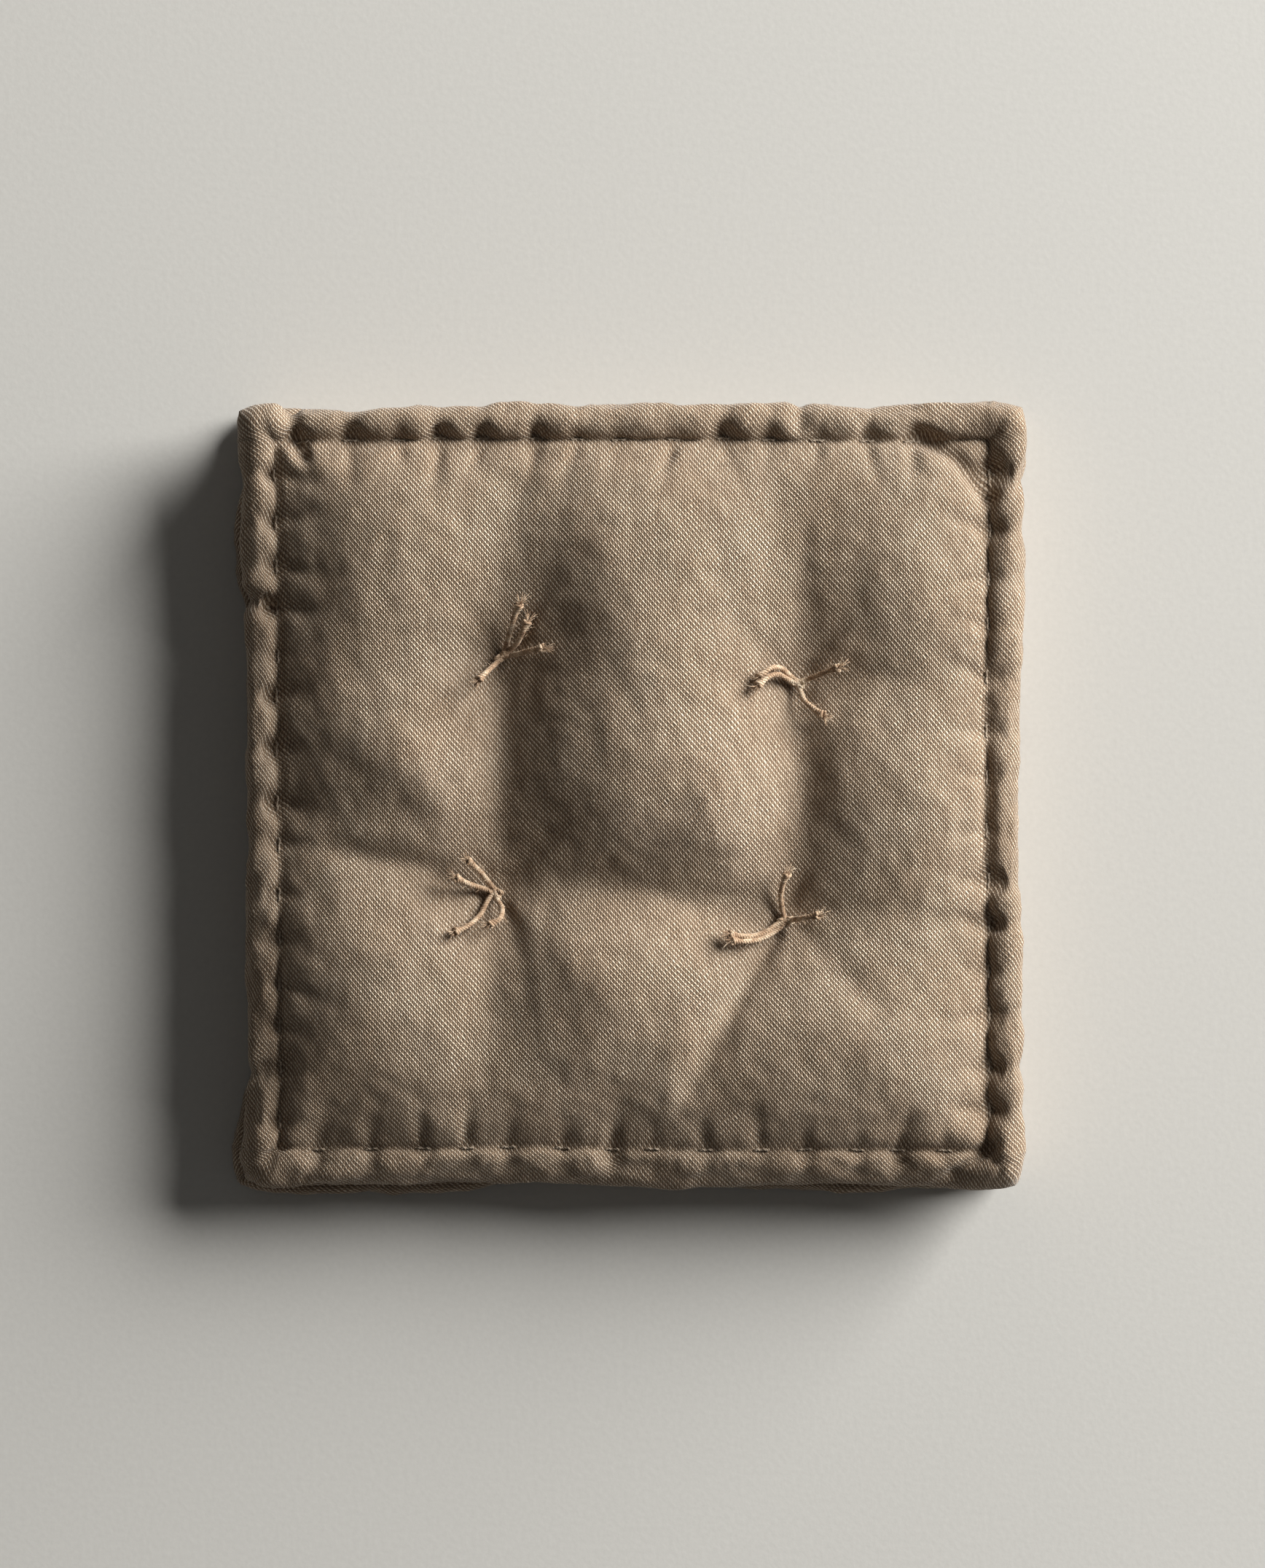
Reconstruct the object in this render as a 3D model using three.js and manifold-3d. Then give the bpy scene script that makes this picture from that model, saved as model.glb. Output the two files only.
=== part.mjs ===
// A hand-made floor cushion: a square, stuffed pad with a rolled and stitched edge around its top and its
// underside, and four tufts tied through it with jute twine.
// Millimetres, +Z up. The origin is on the floor, under the middle of the cushion.

import * as THREE from 'three';
import Module from 'manifold-3d';
import { mergeVertices } from 'three/addons/utils/BufferGeometryUtils.js';

const wasm = await Module();
wasm.setup();

// ---- Driving dimensions -------------------------------------------------------------------------

const WIDTH = 450; // across the rolled edges, at the middle of a side
const EDGE_HEIGHT = 66; // floor to the top of the upper roll
const CROWN_HEIGHT = 86; // floor to the middle of the top
const ROLL_RADIUS = 10;
const FABRIC = 1; // cloth thickness
const GAP = 0.3; // left between pieces that touch
const TWINE = 2; // diameter of one strand
const TIE_TWINE = 3; // diameter of the doubled strand through the cushion
const STITCH_TWINE = 1.6;
const STITCH_LIFT = 2.1; // the middle of a thread above its groove, clear of both walls

const GROOVE_DEPTH = 7; // of the stitched groove beside a roll, below the top of the roll
const UNDERSIDE_GROOVE = 5.5; // the same groove underneath, above the floor
const EAR = { x: 8, y: 4 }; // how far a corner stands out past the sides
const EAR_SHARPNESS = 12;
const WALL_BULGE = 2; // of a side panel at half height

const TUFT_Z = 60; // height of the cloth under a knot
const UNDERSIDE_TUFT_Z = 10; // the underside is drawn up this far at a tuft
const TUFT_SEAT = 9; // radius of the flat under a knot
const PIT_REACH = 60; // from the rim of the seat out to where a tuft no longer pulls
const UNDERSIDE_PIT_REACH = 34;
const PAD_FULLNESS = 3.6; // the higher, the squarer the pad's section
const VALLEY_DEPTH = 5; // between neighbouring pads
const VALLEY_SPREAD = 22;
const LEG_SPACING = 8; // between the two legs of a tie
const KNOT = { radius: 2.7, tube: 1, lift: 2.8, steps: 28, sides: 5, turns: 2, windings: 3 };
const TIE_SIDES = 6;
const TIE_STEPS = 25;
const TAIL_SIDES = 8;
const TAIL_STEPS = 6;
const ROLL_SIDES = 8;
const STITCH_SIDES = 6;

// Where each tuft was tied, by hand and so not quite square.
const TUFTS = {
  back_left: { x: -75, y: 80 },
  back_right: { x: 95, y: 65 },
  front_left: { x: -79, y: -55 },
  front_right: { x: 88, y: -72 },
};

// The four loose ends of each knot, each as the points that it passes through,
// measured from the cloth under the knot.
const TAILS = {
  back_left: {
    a: [[2, 5.2, 3.6], [4, 12, 8], [7, 21, 15], [10.5, 29.3, 19.5]],
    b: [[4.1, 3.8, 3.8], [9, 8, 9.5], [12.5, 14.5, 15.5], [15.1, 19.7, 17]],
    c: [[5.4, 0.9, 4], [11.5, 2, 10.5], [18, 3.6, 17], [23.9, 4.6, 20]],
    d: [[-3.2, -3.6, 5], [-5.4, -6.2, 13], [-8.8, -9.8, 20], [-12.6, -13.8, 22.4]],
  },
  back_right: {
    a: [[-4, 3.8, 4], [-10.5, 8.5, 10], [-17, 7.5, 16], [-22.6, 2.9, 17.5]],
    b: [[-5.2, 1.6, 5.5], [-11.5, 4.6, 12.2], [-17.5, 3, 17.8], [-23.4, -2, 20.5]],
    c: [[5.3, 2, 4], [11, 4.2, 9], [17, 6.6, 14], [22.6, 8.4, 17.5]],
    d: [[1.8, -5.2, 3.8], [4, -10.5, 7.5], [9, -15, 12.5], [14.2, -18.8, 16]],
  },
  front_left: {
    a: [[-3, 4.6, 3.8], [-7.5, 10.5, 8.5], [-11.5, 14.8, 13], [-15.5, 18.4, 16]],
    b: [[-5.4, 1.4, 3.8], [-12, 3.6, 9], [-17.5, 6, 14], [-22.2, 8.4, 16.5]],
    c: [[-3.8, -4.2, 3.6], [-8.4, -13, 8], [-15, -19.2, 14.5], [-22.6, -22.6, 18.5]],
    d: [[1.6, -5, 4.6], [4.4, -9.8, 10.6], [2.6, -15.4, 16.4], [-2.8, -18.4, 18.6]],
  },
  front_right: {
    a: [[-1.6, 5.5, 3.6], [-3, 14, 8], [-2, 21.5, 13.5], [0.4, 27.6, 16]],
    b: [[4.2, 1, 5], [7.4, 1.8, 13], [12, 3, 20], [18, 4.2, 22.4]],
    c: [[-5.1, -1.8, 4.2], [-12, -6, 9.5], [-21, -8.2, 15], [-32.7, -7.1, 20]],
    d: [[-4.6, -4.6, 4.4], [-12.5, -9, 10.3], [-21.5, -11, 16], [-31.5, -10.4, 20.4]],
  },
};

const COLOURS = {
  cloth: { color: 0x9c8b7c, roughness: 0.95, metalness: 0 },
  wadding: { color: 0xd8cdb8, roughness: 1, metalness: 0 },
  twine: { color: 0xb08c52, roughness: 0.9, metalness: 0 },
  thread: { color: 0xa8957c, roughness: 0.9, metalness: 0 },
};

// ---- Derived sizes ------------------------------------------------------------------------------

const HALF = WIDTH / 2;
const ROLL_CENTRE = HALF - ROLL_RADIUS; // distance from the middle to the centre line of a roll
const TOP_ROLL_Z = EDGE_HEIGHT - ROLL_RADIUS;
const GROOVE = HALF - 2 * ROLL_RADIUS; // distance from the middle to the stitched groove
const GROOVE_Z = EDGE_HEIGHT - GROOVE_DEPTH;
const ROLL_FILL = ROLL_RADIUS - FABRIC - 2 * GAP; // radius of the filling in a roll
const TUFT_LINE = 85; // the tufts lie near the corners of a square of this half width
const WALL_START = 1.6 * ROLL_RADIUS; // from the centre of a roll to the flat part of the side beyond it
const SEAM_ANGLE = 90; // around a roll, where a side panel begins
const TUCK_ANGLES = [135, 170]; // where the side panel follows the roll round to its inner side
const LEG_SHARES = [1, 0.75, 0.5, 0.25, 0]; // heights at which the leg of a tie is drawn
const BOW_ANGLES = [150, 115, 90, 65, 30]; // around the bow of a tie, under the cushion
const BOW_CLEARANCE = 3 * GAP; // between the bow of a tie and the underside

const FILLING_CLEARANCE = 2; // between the blocks of filling and what lies around them
const WADDING_EDGE = GROOVE - FILLING_CLEARANCE;
const WADDING_TOP = TOP_ROLL_Z - ROLL_RADIUS - FILLING_CLEARANCE; // the core ends here
const WADDING_BOTTOM = 2 * ROLL_RADIUS + FILLING_CLEARANCE;
const CORE_EDGE = ROLL_CENTRE - FILLING_CLEARANCE;

// ---- The plan: a square grid of lines, drawn to the tufts and out at the corners ----------------

// A line across the cushion lies on a roll (at an angle around it, 90 degrees being the outermost
// line), in the stitched groove, or on the pad.
const EDGE_LINES = [
  { angle: SEAM_ANGLE },
  { angle: 45 },
  { angle: 0 },
  { angle: -45 },
  { groove: true },
];
const CORNER_REACHES = [185, 155]; // the sides are straight between these and curve out beyond them
const SEAT_SQUARE = 0.7 * TUFT_SEAT; // half width of the square that fits inside a seat
const SEAT_REACHES = [TUFT_LINE + SEAT_SQUARE, TUFT_LINE - SEAT_SQUARE];
const PAD_REACHES = [...CORNER_REACHES, 120, ...SEAT_REACHES, 42];
const UNDERSIDE_REACHES = [...CORNER_REACHES, 115, ...SEAT_REACHES, 45];

function gridLines(padReaches) {
  const half = [...EDGE_LINES, ...padReaches.map((reach) => ({ reach }))];
  const left = half.map((line) => ({ ...line, sign: -1 }));
  const right = half.map((line) => ({ ...line, sign: 1 })).reverse();
  return [...left, { reach: 0, sign: 1 }, ...right];
}

function reachOf(line, inset) {
  if (line.angle !== undefined) {
    return ROLL_CENTRE + (ROLL_RADIUS - inset) * Math.sin(THREE.MathUtils.degToRad(line.angle));
  }
  return line.groove ? GROOVE : line.reach;
}

function isEdge(line) {
  return line.angle !== undefined || line.groove === true;
}

// Share of a tuft's own displacement that a line takes, from 1 on its side's tuft line to 0 at the other
// side's, and to 0 at the edge.
function tuftShare(coordinate, side) {
  const across = THREE.MathUtils.clamp((coordinate * side + TUFT_LINE) / (2 * TUFT_LINE), 0, 1);
  const fade = THREE.MathUtils.clamp((GROOVE - Math.abs(coordinate)) / (GROOVE - TUFT_LINE), 0, 1);
  return across * fade;
}

function earShare(coordinate) {
  return Math.pow(Math.min(1, Math.abs(coordinate) / HALF), EAR_SHARPNESS);
}

// Moves a point of the plain square plan to where the tufts and the corner ears pull it.
function place(x, y, z) {
  const point = new THREE.Vector3(x, y, z);
  for (const tuft of Object.values(TUFTS)) {
    const share = tuftShare(x, Math.sign(tuft.x)) * tuftShare(y, Math.sign(tuft.y));
    point.x += share * (tuft.x - Math.sign(tuft.x) * TUFT_LINE);
    point.y += share * (tuft.y - Math.sign(tuft.y) * TUFT_LINE);
  }
  const ear = earShare(x) * earShare(y);
  point.x += Math.sign(x) * EAR.x * ear;
  point.y += Math.sign(y) * EAR.y * ear;
  return point;
}

// How strongly a tuft pulls at a point of the plain plan, from 1 on its seat to 0 far away.
function pitAt(x, y, reach) {
  const distance = Math.hypot(Math.abs(x) - TUFT_LINE, Math.abs(y) - TUFT_LINE);
  return 1 - THREE.MathUtils.smoothstep(distance, TUFT_SEAT, TUFT_SEAT + reach);
}

function valleyAt(coordinate) {
  return Math.exp(-(((Math.abs(coordinate) - TUFT_LINE) / VALLEY_SPREAD) ** 2));
}

function padHeight(x, y) {
  const swell = (s) => 1 - (Math.abs(s) / GROOVE) ** PAD_FULLNESS;
  const dome = GROOVE_Z + (CROWN_HEIGHT - GROOVE_Z) * swell(x) * swell(y);
  const edgeFade = swell(x) * swell(y);
  const valley = VALLEY_DEPTH * Math.max(valleyAt(x), valleyAt(y)) * edgeFade;
  const pit = pitAt(x, y, PIT_REACH);
  return (dome - valley) * (1 - pit) + TUFT_Z * pit;
}

function undersideHeight(x, y) {
  return UNDERSIDE_TUFT_Z * pitAt(x, y, UNDERSIDE_PIT_REACH);
}

// ---- Skins: grids of points, one for each face of a cloth ---------------------------------------

function topSkin(lines, inset) {
  const edgeZ = (line) => (line.groove
    ? GROOVE_Z - inset
    : TOP_ROLL_Z + (ROLL_RADIUS - inset) * Math.cos(THREE.MathUtils.degToRad(line.angle)));
  return skin(lines, inset, edgeZ, (x, y) => padHeight(x, y) - inset);
}

function undersideSkin(lines, inset) {
  const edgeZ = (line) => (line.groove
    ? UNDERSIDE_GROOVE + inset
    : ROLL_RADIUS - (ROLL_RADIUS - inset) * Math.cos(THREE.MathUtils.degToRad(line.angle)));
  return skin(lines, inset, edgeZ, (x, y) => undersideHeight(x, y) + inset);
}

// On the roll and in the groove the outer one of the two crossing lines sets the height, which
// mitres the corners.
function skin(lines, inset, edgeZ, padZ) {
  return lines.map((across) => lines.map((along) => {
    const reachX = reachOf(across, inset);
    const reachY = reachOf(along, inset);
    const x = across.sign * reachX;
    const y = along.sign * reachY;
    const outer = reachX >= reachY ? across : along;
    const z = isEdge(outer) ? edgeZ(outer) : padZ(x, y);
    return place(x, y, z);
  }));
}

// ---- Closed bodies ------------------------------------------------------------------------------

function geometryOf(positions, triangles) {
  const geometry = new THREE.BufferGeometry();
  const numbers = positions.flatMap((p) => p.toArray());
  geometry.setAttribute('position', new THREE.Float32BufferAttribute(numbers, 3));
  geometry.setIndex(triangles.flat());
  return signedVolume(geometry) < 0 ? flipped(geometry) : geometry;
}

function signedVolume(geometry) {
  const index = geometry.index.array;
  const corner = (k) => new THREE.Vector3().fromBufferAttribute(geometry.attributes.position, index[k]);
  let volume = 0;
  for (let k = 0; k < index.length; k += 3) {
    volume += corner(k).dot(corner(k + 1).cross(corner(k + 2))) / 6;
  }
  return volume;
}

function flipped(geometry) {
  const index = geometry.index.array;
  for (let k = 0; k < index.length; k += 3) {
    [index[k], index[k + 1]] = [index[k + 1], index[k]];
  }
  return geometry;
}

// A closed body between two grids of the same shape: both faces and the rim that joins them.
function bodyBetween(outer, inner) {
  const rows = outer.length;
  const columns = outer[0].length;
  const positions = [...outer.flat(), ...inner.flat()];
  const at = (i, j) => i * columns + j;
  const below = (i, j) => rows * columns + at(i, j);
  const triangles = [];
  for (let i = 0; i < rows - 1; i += 1) {
    for (let j = 0; j < columns - 1; j += 1) {
      const outward = (i - (rows - 2) / 2) * (j - (columns - 2) / 2) >= 0;
      const cell = [[i, j], [i + 1, j], [i + 1, j + 1], [i, j + 1]];
      const split = outward ? [[0, 1, 2], [0, 2, 3]] : [[0, 1, 3], [1, 2, 3]];
      for (const [a, b, c] of split) {
        triangles.push([at(...cell[a]), at(...cell[b]), at(...cell[c])]);
        triangles.push([below(...cell[a]), below(...cell[c]), below(...cell[b])]);
      }
    }
  }
  for (const [from, to] of rimEdges(rows, columns)) {
    triangles.push([at(...from), below(...to), at(...to)]);
    triangles.push([at(...from), below(...from), below(...to)]);
  }
  return geometryOf(positions, triangles);
}

// The border of a grid as directed edges, once around.
function rimEdges(rows, columns) {
  const border = [];
  for (let i = 0; i < rows - 1; i += 1) border.push([i, 0]);
  for (let j = 0; j < columns - 1; j += 1) border.push([rows - 1, j]);
  for (let i = rows - 1; i > 0; i -= 1) border.push([i, columns - 1]);
  for (let j = columns - 1; j > 0; j -= 1) border.push([0, j]);
  return border.map((from, k) => [from, border[(k + 1) % border.length]]);
}

// A closed body through a row of rings that all have the same number of points, with flat ends.
function bodyThrough(rings) {
  const size = rings[0].length;
  const last = (rings.length - 1) * size;
  const triangles = [];
  for (let r = 0; r < rings.length - 1; r += 1) {
    for (let k = 0; k < size; k += 1) {
      const next = (k + 1) % size;
      const [a, b] = [r * size + k, r * size + next];
      triangles.push([a, b, b + size], [a, b + size, a + size]);
    }
  }
  for (let k = 1; k < size - 1; k += 1) {
    triangles.push([0, k + 1, k], [last, last + k, last + k + 1]);
  }
  return geometryOf(rings.flat(), triangles);
}

function solidOf(geometry) {
  const plain = geometry.clone();
  plain.deleteAttribute('normal');
  plain.deleteAttribute('uv');
  const merged = mergeVertices(plain, 1e-4);
  return new wasm.Manifold(new wasm.Mesh({
    numProp: 3,
    vertProperties: new Float32Array(merged.attributes.position.array),
    triVerts: new Uint32Array(merged.index.array),
  }));
}

function geometryFrom(solid) {
  const mesh = solid.getMesh();
  const geometry = new THREE.BufferGeometry();
  geometry.setAttribute('position', new THREE.BufferAttribute(mesh.vertProperties, 3));
  geometry.setIndex(new THREE.BufferAttribute(mesh.triVerts, 1));
  return geometry;
}

// ---- The twine's way through the cushion --------------------------------------------------------

function legPositions(tuft) {
  return [-1, 1].map((side) => ({ x: tuft.x + side * LEG_SPACING / 2, y: tuft.y }));
}

// Cuts the needle holes of all four ties out of a layer of the cushion.
function pierced(geometry) {
  const holeRadius = (TIE_TWINE / 2 + 2 * GAP) / Math.cos(Math.PI / TIE_SIDES);
  let solid = solidOf(geometry);
  for (const tuft of Object.values(TUFTS)) {
    for (const leg of legPositions(tuft)) {
      const hole = new THREE.CylinderGeometry(holeRadius, holeRadius, 2 * CROWN_HEIGHT, TIE_SIDES);
      hole.rotateX(Math.PI / 2).translate(leg.x, leg.y, 0);
      solid = solid.subtract(solidOf(hole));
    }
  }
  return geometryFrom(solid);
}

// ---- Sub-parts ----------------------------------------------------------------------------------

const cushion = new THREE.Group();

function addPiece(name, geometry, look) {
  const mesh = new THREE.Mesh(geometry, new THREE.MeshStandardMaterial(COLOURS[look]));
  mesh.name = name;
  cushion.add(mesh);
}

const TOP_LINES = gridLines(PAD_REACHES);
const UNDERSIDE_LINES = gridLines(UNDERSIDE_REACHES);

function topPanel() {
  return pierced(bodyBetween(topSkin(TOP_LINES, 0), topSkin(TOP_LINES, FABRIC)));
}

function bottomPanel() {
  return pierced(bodyBetween(undersideSkin(UNDERSIDE_LINES, 0), undersideSkin(UNDERSIDE_LINES, FABRIC)));
}

// A block of filling from one height to another, cut off by the panel that lies on it.
function block(reach, low, high) {
  return new THREE.BoxGeometry(2 * reach, 2 * reach, high - low).translate(0, 0, (low + high) / 2);
}

function upperWadding() {
  const under = topSkin(TOP_LINES, FABRIC + GAP);
  const floor = under.map((row) => row.map((point) => new THREE.Vector3(point.x, point.y, 0)));
  const layer = solidOf(bodyBetween(under, floor));
  const cut = layer.intersect(solidOf(block(WADDING_EDGE, WADDING_TOP + GAP, 2 * CROWN_HEIGHT)));
  return pierced(geometryFrom(cut));
}

function lowerWadding() {
  const over = undersideSkin(UNDERSIDE_LINES, FABRIC + GAP);
  const ceiling = over.map((row) => row.map((point) => new THREE.Vector3(point.x, point.y, CROWN_HEIGHT)));
  const layer = solidOf(bodyBetween(ceiling, over));
  const cut = layer.intersect(solidOf(block(WADDING_EDGE, -EDGE_HEIGHT, WADDING_BOTTOM - GAP)));
  return pierced(geometryFrom(cut));
}

function coreFilling() {
  return pierced(block(CORE_EDGE, WADDING_BOTTOM, WADDING_TOP));
}

// Pieces along a side are made for the right side of the cushion and then turned onto the others.
const SIDES = { front: [0, -1], right: [1, 0], back: [0, 1], left: [-1, 0] };
const STATIONS = gridLines(CORNER_REACHES).filter((line) => line.angle === undefined);

// A point at a distance from the middle towards a side and a distance along it.
function onSide([sideX, sideY], reach, along, z) {
  return place(sideX * reach - sideY * along, sideY * reach + sideX * along, z);
}

// Rows of points along a side, one for each station, with both ends cut to the mitre of the corner.
function alongSide(side, section) {
  const ends = (sign) => section.map(({ reach, z }) => onSide(side, reach, sign * (reach - GAP), z));
  const middle = STATIONS.map((line) => section.map(({ reach, z }) => (
    onSide(side, reach, line.sign * reachOf(line, 0), z))));
  return [ends(-1), ...middle, ends(1)];
}

function sideSection(inset) {
  const radius = ROLL_RADIUS - inset;
  const under = [SEAM_ANGLE, ...TUCK_ANGLES].map((angle) => {
    const turn = THREE.MathUtils.degToRad(angle);
    const tuck = angle === SEAM_ANGLE ? GAP : 0;
    return { reach: ROLL_CENTRE + radius * Math.sin(turn), drop: -radius * Math.cos(turn) + tuck };
  });
  const upper = under.map(({ reach, drop }) => ({ reach, z: TOP_ROLL_Z - drop }));
  const lower = under.map(({ reach, drop }) => ({ reach, z: ROLL_RADIUS + drop })).reverse();
  const wall = ROLL_CENTRE - inset;
  const middle = [
    { reach: wall, z: TOP_ROLL_Z - WALL_START },
    { reach: wall + WALL_BULGE, z: EDGE_HEIGHT / 2 },
    { reach: wall, z: ROLL_RADIUS + WALL_START },
  ];
  return [...upper, ...middle, ...lower];
}

function sidePanel(side) {
  return bodyBetween(alongSide(side, sideSection(0)), alongSide(side, sideSection(FABRIC)));
}

function circleSection(reach, z, radius, sides) {
  return Array.from({ length: sides }, (_, k) => {
    const turn = (k / sides) * 2 * Math.PI;
    return { reach: reach + radius * Math.sin(turn), z: z + radius * Math.cos(turn) };
  });
}

function edgeRoll(side, z) {
  return bodyThrough(alongSide(side, circleSection(ROLL_CENTRE, z, ROLL_FILL, ROLL_SIDES)));
}

function edgeStitch(side, z) {
  return bodyThrough(alongSide(side, circleSection(GROOVE, z, STITCH_TWINE / 2, STITCH_SIDES)));
}

function tubeAlong(points, diameter, sides, steps) {
  const shape = new THREE.Shape();
  for (let k = 0; k < sides; k += 1) {
    const turn = (k / sides) * 2 * Math.PI;
    const [x, y] = [(diameter / 2) * Math.cos(turn), (diameter / 2) * Math.sin(turn)];
    if (k === 0) shape.moveTo(x, y);
    else shape.lineTo(x, y);
  }
  const extrudePath = new THREE.CatmullRomCurve3(points.map((point) => new THREE.Vector3(...point)));
  const tube = new THREE.ExtrudeGeometry(shape, { steps, extrudePath });
  return geometryFrom(solidOf(tube));
}

// The doubled twine down through the cushion, across the underside in a shallow bow and up again.
function tie(tuft) {
  const [left, right] = legPositions(tuft);
  const high = TUFT_Z - GAP;
  const low = UNDERSIDE_TUFT_Z - BOW_CLEARANCE;
  const bowRadius = LEG_SPACING / 2;
  const legDown = LEG_SHARES.map((share) => [left.x, left.y, low + share * (high - low)]);
  const legUp = legDown.map(([, y, z]) => [right.x, y, z]).reverse();
  const bow = BOW_ANGLES.map((angle) => {
    const turn = THREE.MathUtils.degToRad(angle);
    return [tuft.x + bowRadius * Math.cos(turn), tuft.y, low - bowRadius * Math.sin(turn)];
  });
  return tubeAlong([...legDown, ...bow, ...legUp], TIE_TWINE, TIE_SIDES, TIE_STEPS);
}

function knot(tuft) {
  const { radius, tube, steps, sides, turns, windings } = KNOT;
  const geometry = new THREE.TorusKnotGeometry(radius, tube, steps, sides, turns, windings);
  geometry.translate(tuft.x, tuft.y, TUFT_Z + KNOT.lift);
  return geometryFrom(solidOf(geometry));
}

function tail(tuft, points) {
  const placed = points.map(([x, y, z]) => [tuft.x + x, tuft.y + y, TUFT_Z + z]);
  return tubeAlong(placed, TWINE, TAIL_SIDES, TAIL_STEPS);
}

// ---- The whole cushion --------------------------------------------------------------------------

addPiece('top_panel', topPanel(), 'cloth');
addPiece('bottom_panel', bottomPanel(), 'cloth');
addPiece('upper_wadding', upperWadding(), 'wadding');
addPiece('core_filling', coreFilling(), 'wadding');
addPiece('lower_wadding', lowerWadding(), 'wadding');

for (const [sideName, side] of Object.entries(SIDES)) {
  addPiece(`side_panel_${sideName}`, sidePanel(side), 'cloth');
  addPiece(`edge_roll_top_${sideName}`, edgeRoll(side, TOP_ROLL_Z), 'wadding');
  addPiece(`edge_roll_bottom_${sideName}`, edgeRoll(side, ROLL_RADIUS), 'wadding');
  addPiece(`edge_stitch_top_${sideName}`, edgeStitch(side, GROOVE_Z + STITCH_LIFT), 'thread');
  addPiece(`edge_stitch_bottom_${sideName}`, edgeStitch(side, UNDERSIDE_GROOVE - STITCH_LIFT), 'thread');
}

for (const [tuftName, tuft] of Object.entries(TUFTS)) {
  addPiece(`${tuftName}_tie`, tie(tuft), 'twine');
  addPiece(`${tuftName}_knot`, knot(tuft), 'twine');
  for (const [end, points] of Object.entries(TAILS[tuftName])) {
    addPiece(`${tuftName}_tail_${end}`, tail(tuft, points), 'twine');
  }
}

export default cushion;
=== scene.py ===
"""A hand-made floor cushion, dressed around its CAD frame.

A cover of coarse linen is cut flat, stitched into a rolled edge and drawn down at four tufts, and the cloth
simulation fills it. Metres, +Z up, the origin on the floor under the middle of the cushion.
"""

import functools
import math

import bpy
import numpy as np
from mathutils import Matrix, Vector


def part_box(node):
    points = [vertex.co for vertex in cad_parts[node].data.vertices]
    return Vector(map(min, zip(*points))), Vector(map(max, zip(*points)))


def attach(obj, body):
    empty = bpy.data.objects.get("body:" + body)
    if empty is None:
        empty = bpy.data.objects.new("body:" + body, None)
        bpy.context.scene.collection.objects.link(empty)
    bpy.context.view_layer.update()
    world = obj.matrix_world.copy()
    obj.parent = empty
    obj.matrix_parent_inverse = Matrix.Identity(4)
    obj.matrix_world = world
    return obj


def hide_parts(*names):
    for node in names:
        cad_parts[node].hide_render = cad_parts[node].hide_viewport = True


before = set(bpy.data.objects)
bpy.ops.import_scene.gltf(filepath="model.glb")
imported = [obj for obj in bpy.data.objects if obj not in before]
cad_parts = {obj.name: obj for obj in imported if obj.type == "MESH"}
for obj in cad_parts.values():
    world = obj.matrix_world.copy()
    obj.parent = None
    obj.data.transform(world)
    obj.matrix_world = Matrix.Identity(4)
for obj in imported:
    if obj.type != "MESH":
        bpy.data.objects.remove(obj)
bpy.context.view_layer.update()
MM = 0.001

# ---- Driving dimensions ----

# The CAD model's own.
WIDTH = 450 * MM
EDGE_HEIGHT = 66 * MM
ROLL_RADIUS = 10 * MM
GROOVE_DEPTH = 7 * MM
UNDERSIDE_GROOVE = 5.5 * MM
TUFT_Z = 60 * MM
UNDERSIDE_TUFT_Z = 10 * MM

# For the look of the cushion.
FABRIC = 0.8 * MM
EAR_SHARPNESS = 10
# How far each corner stands out to its side and to the front or back; the keys are the signs of x and y.
EARS = {
    (-1, 1): (15 * MM, 6 * MM),
    (1, 1): (9 * MM, 8 * MM),
    (1, -1): (5 * MM, 9 * MM),
    (-1, -1): (10 * MM, 7 * MM),
}
TUFT_SEAT = 4 * MM  # radius of the flat under a knot
PIT_SPREAD = 84 * MM  # from the seat out to where a tuft no longer pulls
UNDERSIDE_PIT_SPREAD = 18 * MM
DOME_HEIGHT = 97.5 * MM  # of the middle of the top, before the tufts pull it down
DOME_SHOULDER = 132 * MM  # from the groove in to where the dome is at its full height
DOME_FULLNESS = 1.6
RIM_HEIGHT = 8 * MM  # of the cloth that bulges up right beside the groove
RIM_WIDTH = 6 * MM
VALLEY_DEPTH = 36 * MM
VALLEY_SPREAD = 88 * MM
CREASE_WIDTH = 3.5 * MM  # over which a valley or a pit is rounded at its bottom

HALF = WIDTH / 2
ROLL_CENTRE = HALF - ROLL_RADIUS
TOP_ROLL_Z = EDGE_HEIGHT - ROLL_RADIUS
GROOVE = HALF - 2 * ROLL_RADIUS
GROOVE_Z = EDGE_HEIGHT - GROOVE_DEPTH
TUFT_NAMES = ("back_left", "back_right", "front_left", "front_right")
SIDE_NAMES = ("right", "back", "left", "front")
# Which way each side faces: along x (0) or y (1), and up it or down it.
FACING = {"right": (0, 1), "back": (1, 1), "left": (0, -1), "front": (1, -1)}

# Seeds of the random draws.
COVER_SEED = 1
STITCH_SEEDS = {"top": 10, "bottom": 20}
LUMP_SEEDS = (40, 50)
RUFFLE_SEED = 45
FILLING_SEEDS = {"upper": 61, "lower": 62, "core": 63}
PLEAT_SEED = 71
FRAY_SEED = 100


def tuft_places():
    """The middle of each tuft in plan, from the two legs of its tie."""
    places = {}
    for name in TUFT_NAMES:
        low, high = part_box(f"{name}_tie")
        places[name] = ((low.x + high.x) / 2, (low.y + high.y) / 2)
    return places


TUFTS = tuft_places()


# ---- Small mesh tools ----

CURVE_STEPS = 24  # between two given points of a path
PLY_SHARE = {2: 0.52, 3: 0.56}  # radius of a ply against that of its twine, by how many plies there are
FLARE_REACH = 4  # radii of the twine, back from its cut, over which its plies spread


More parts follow.
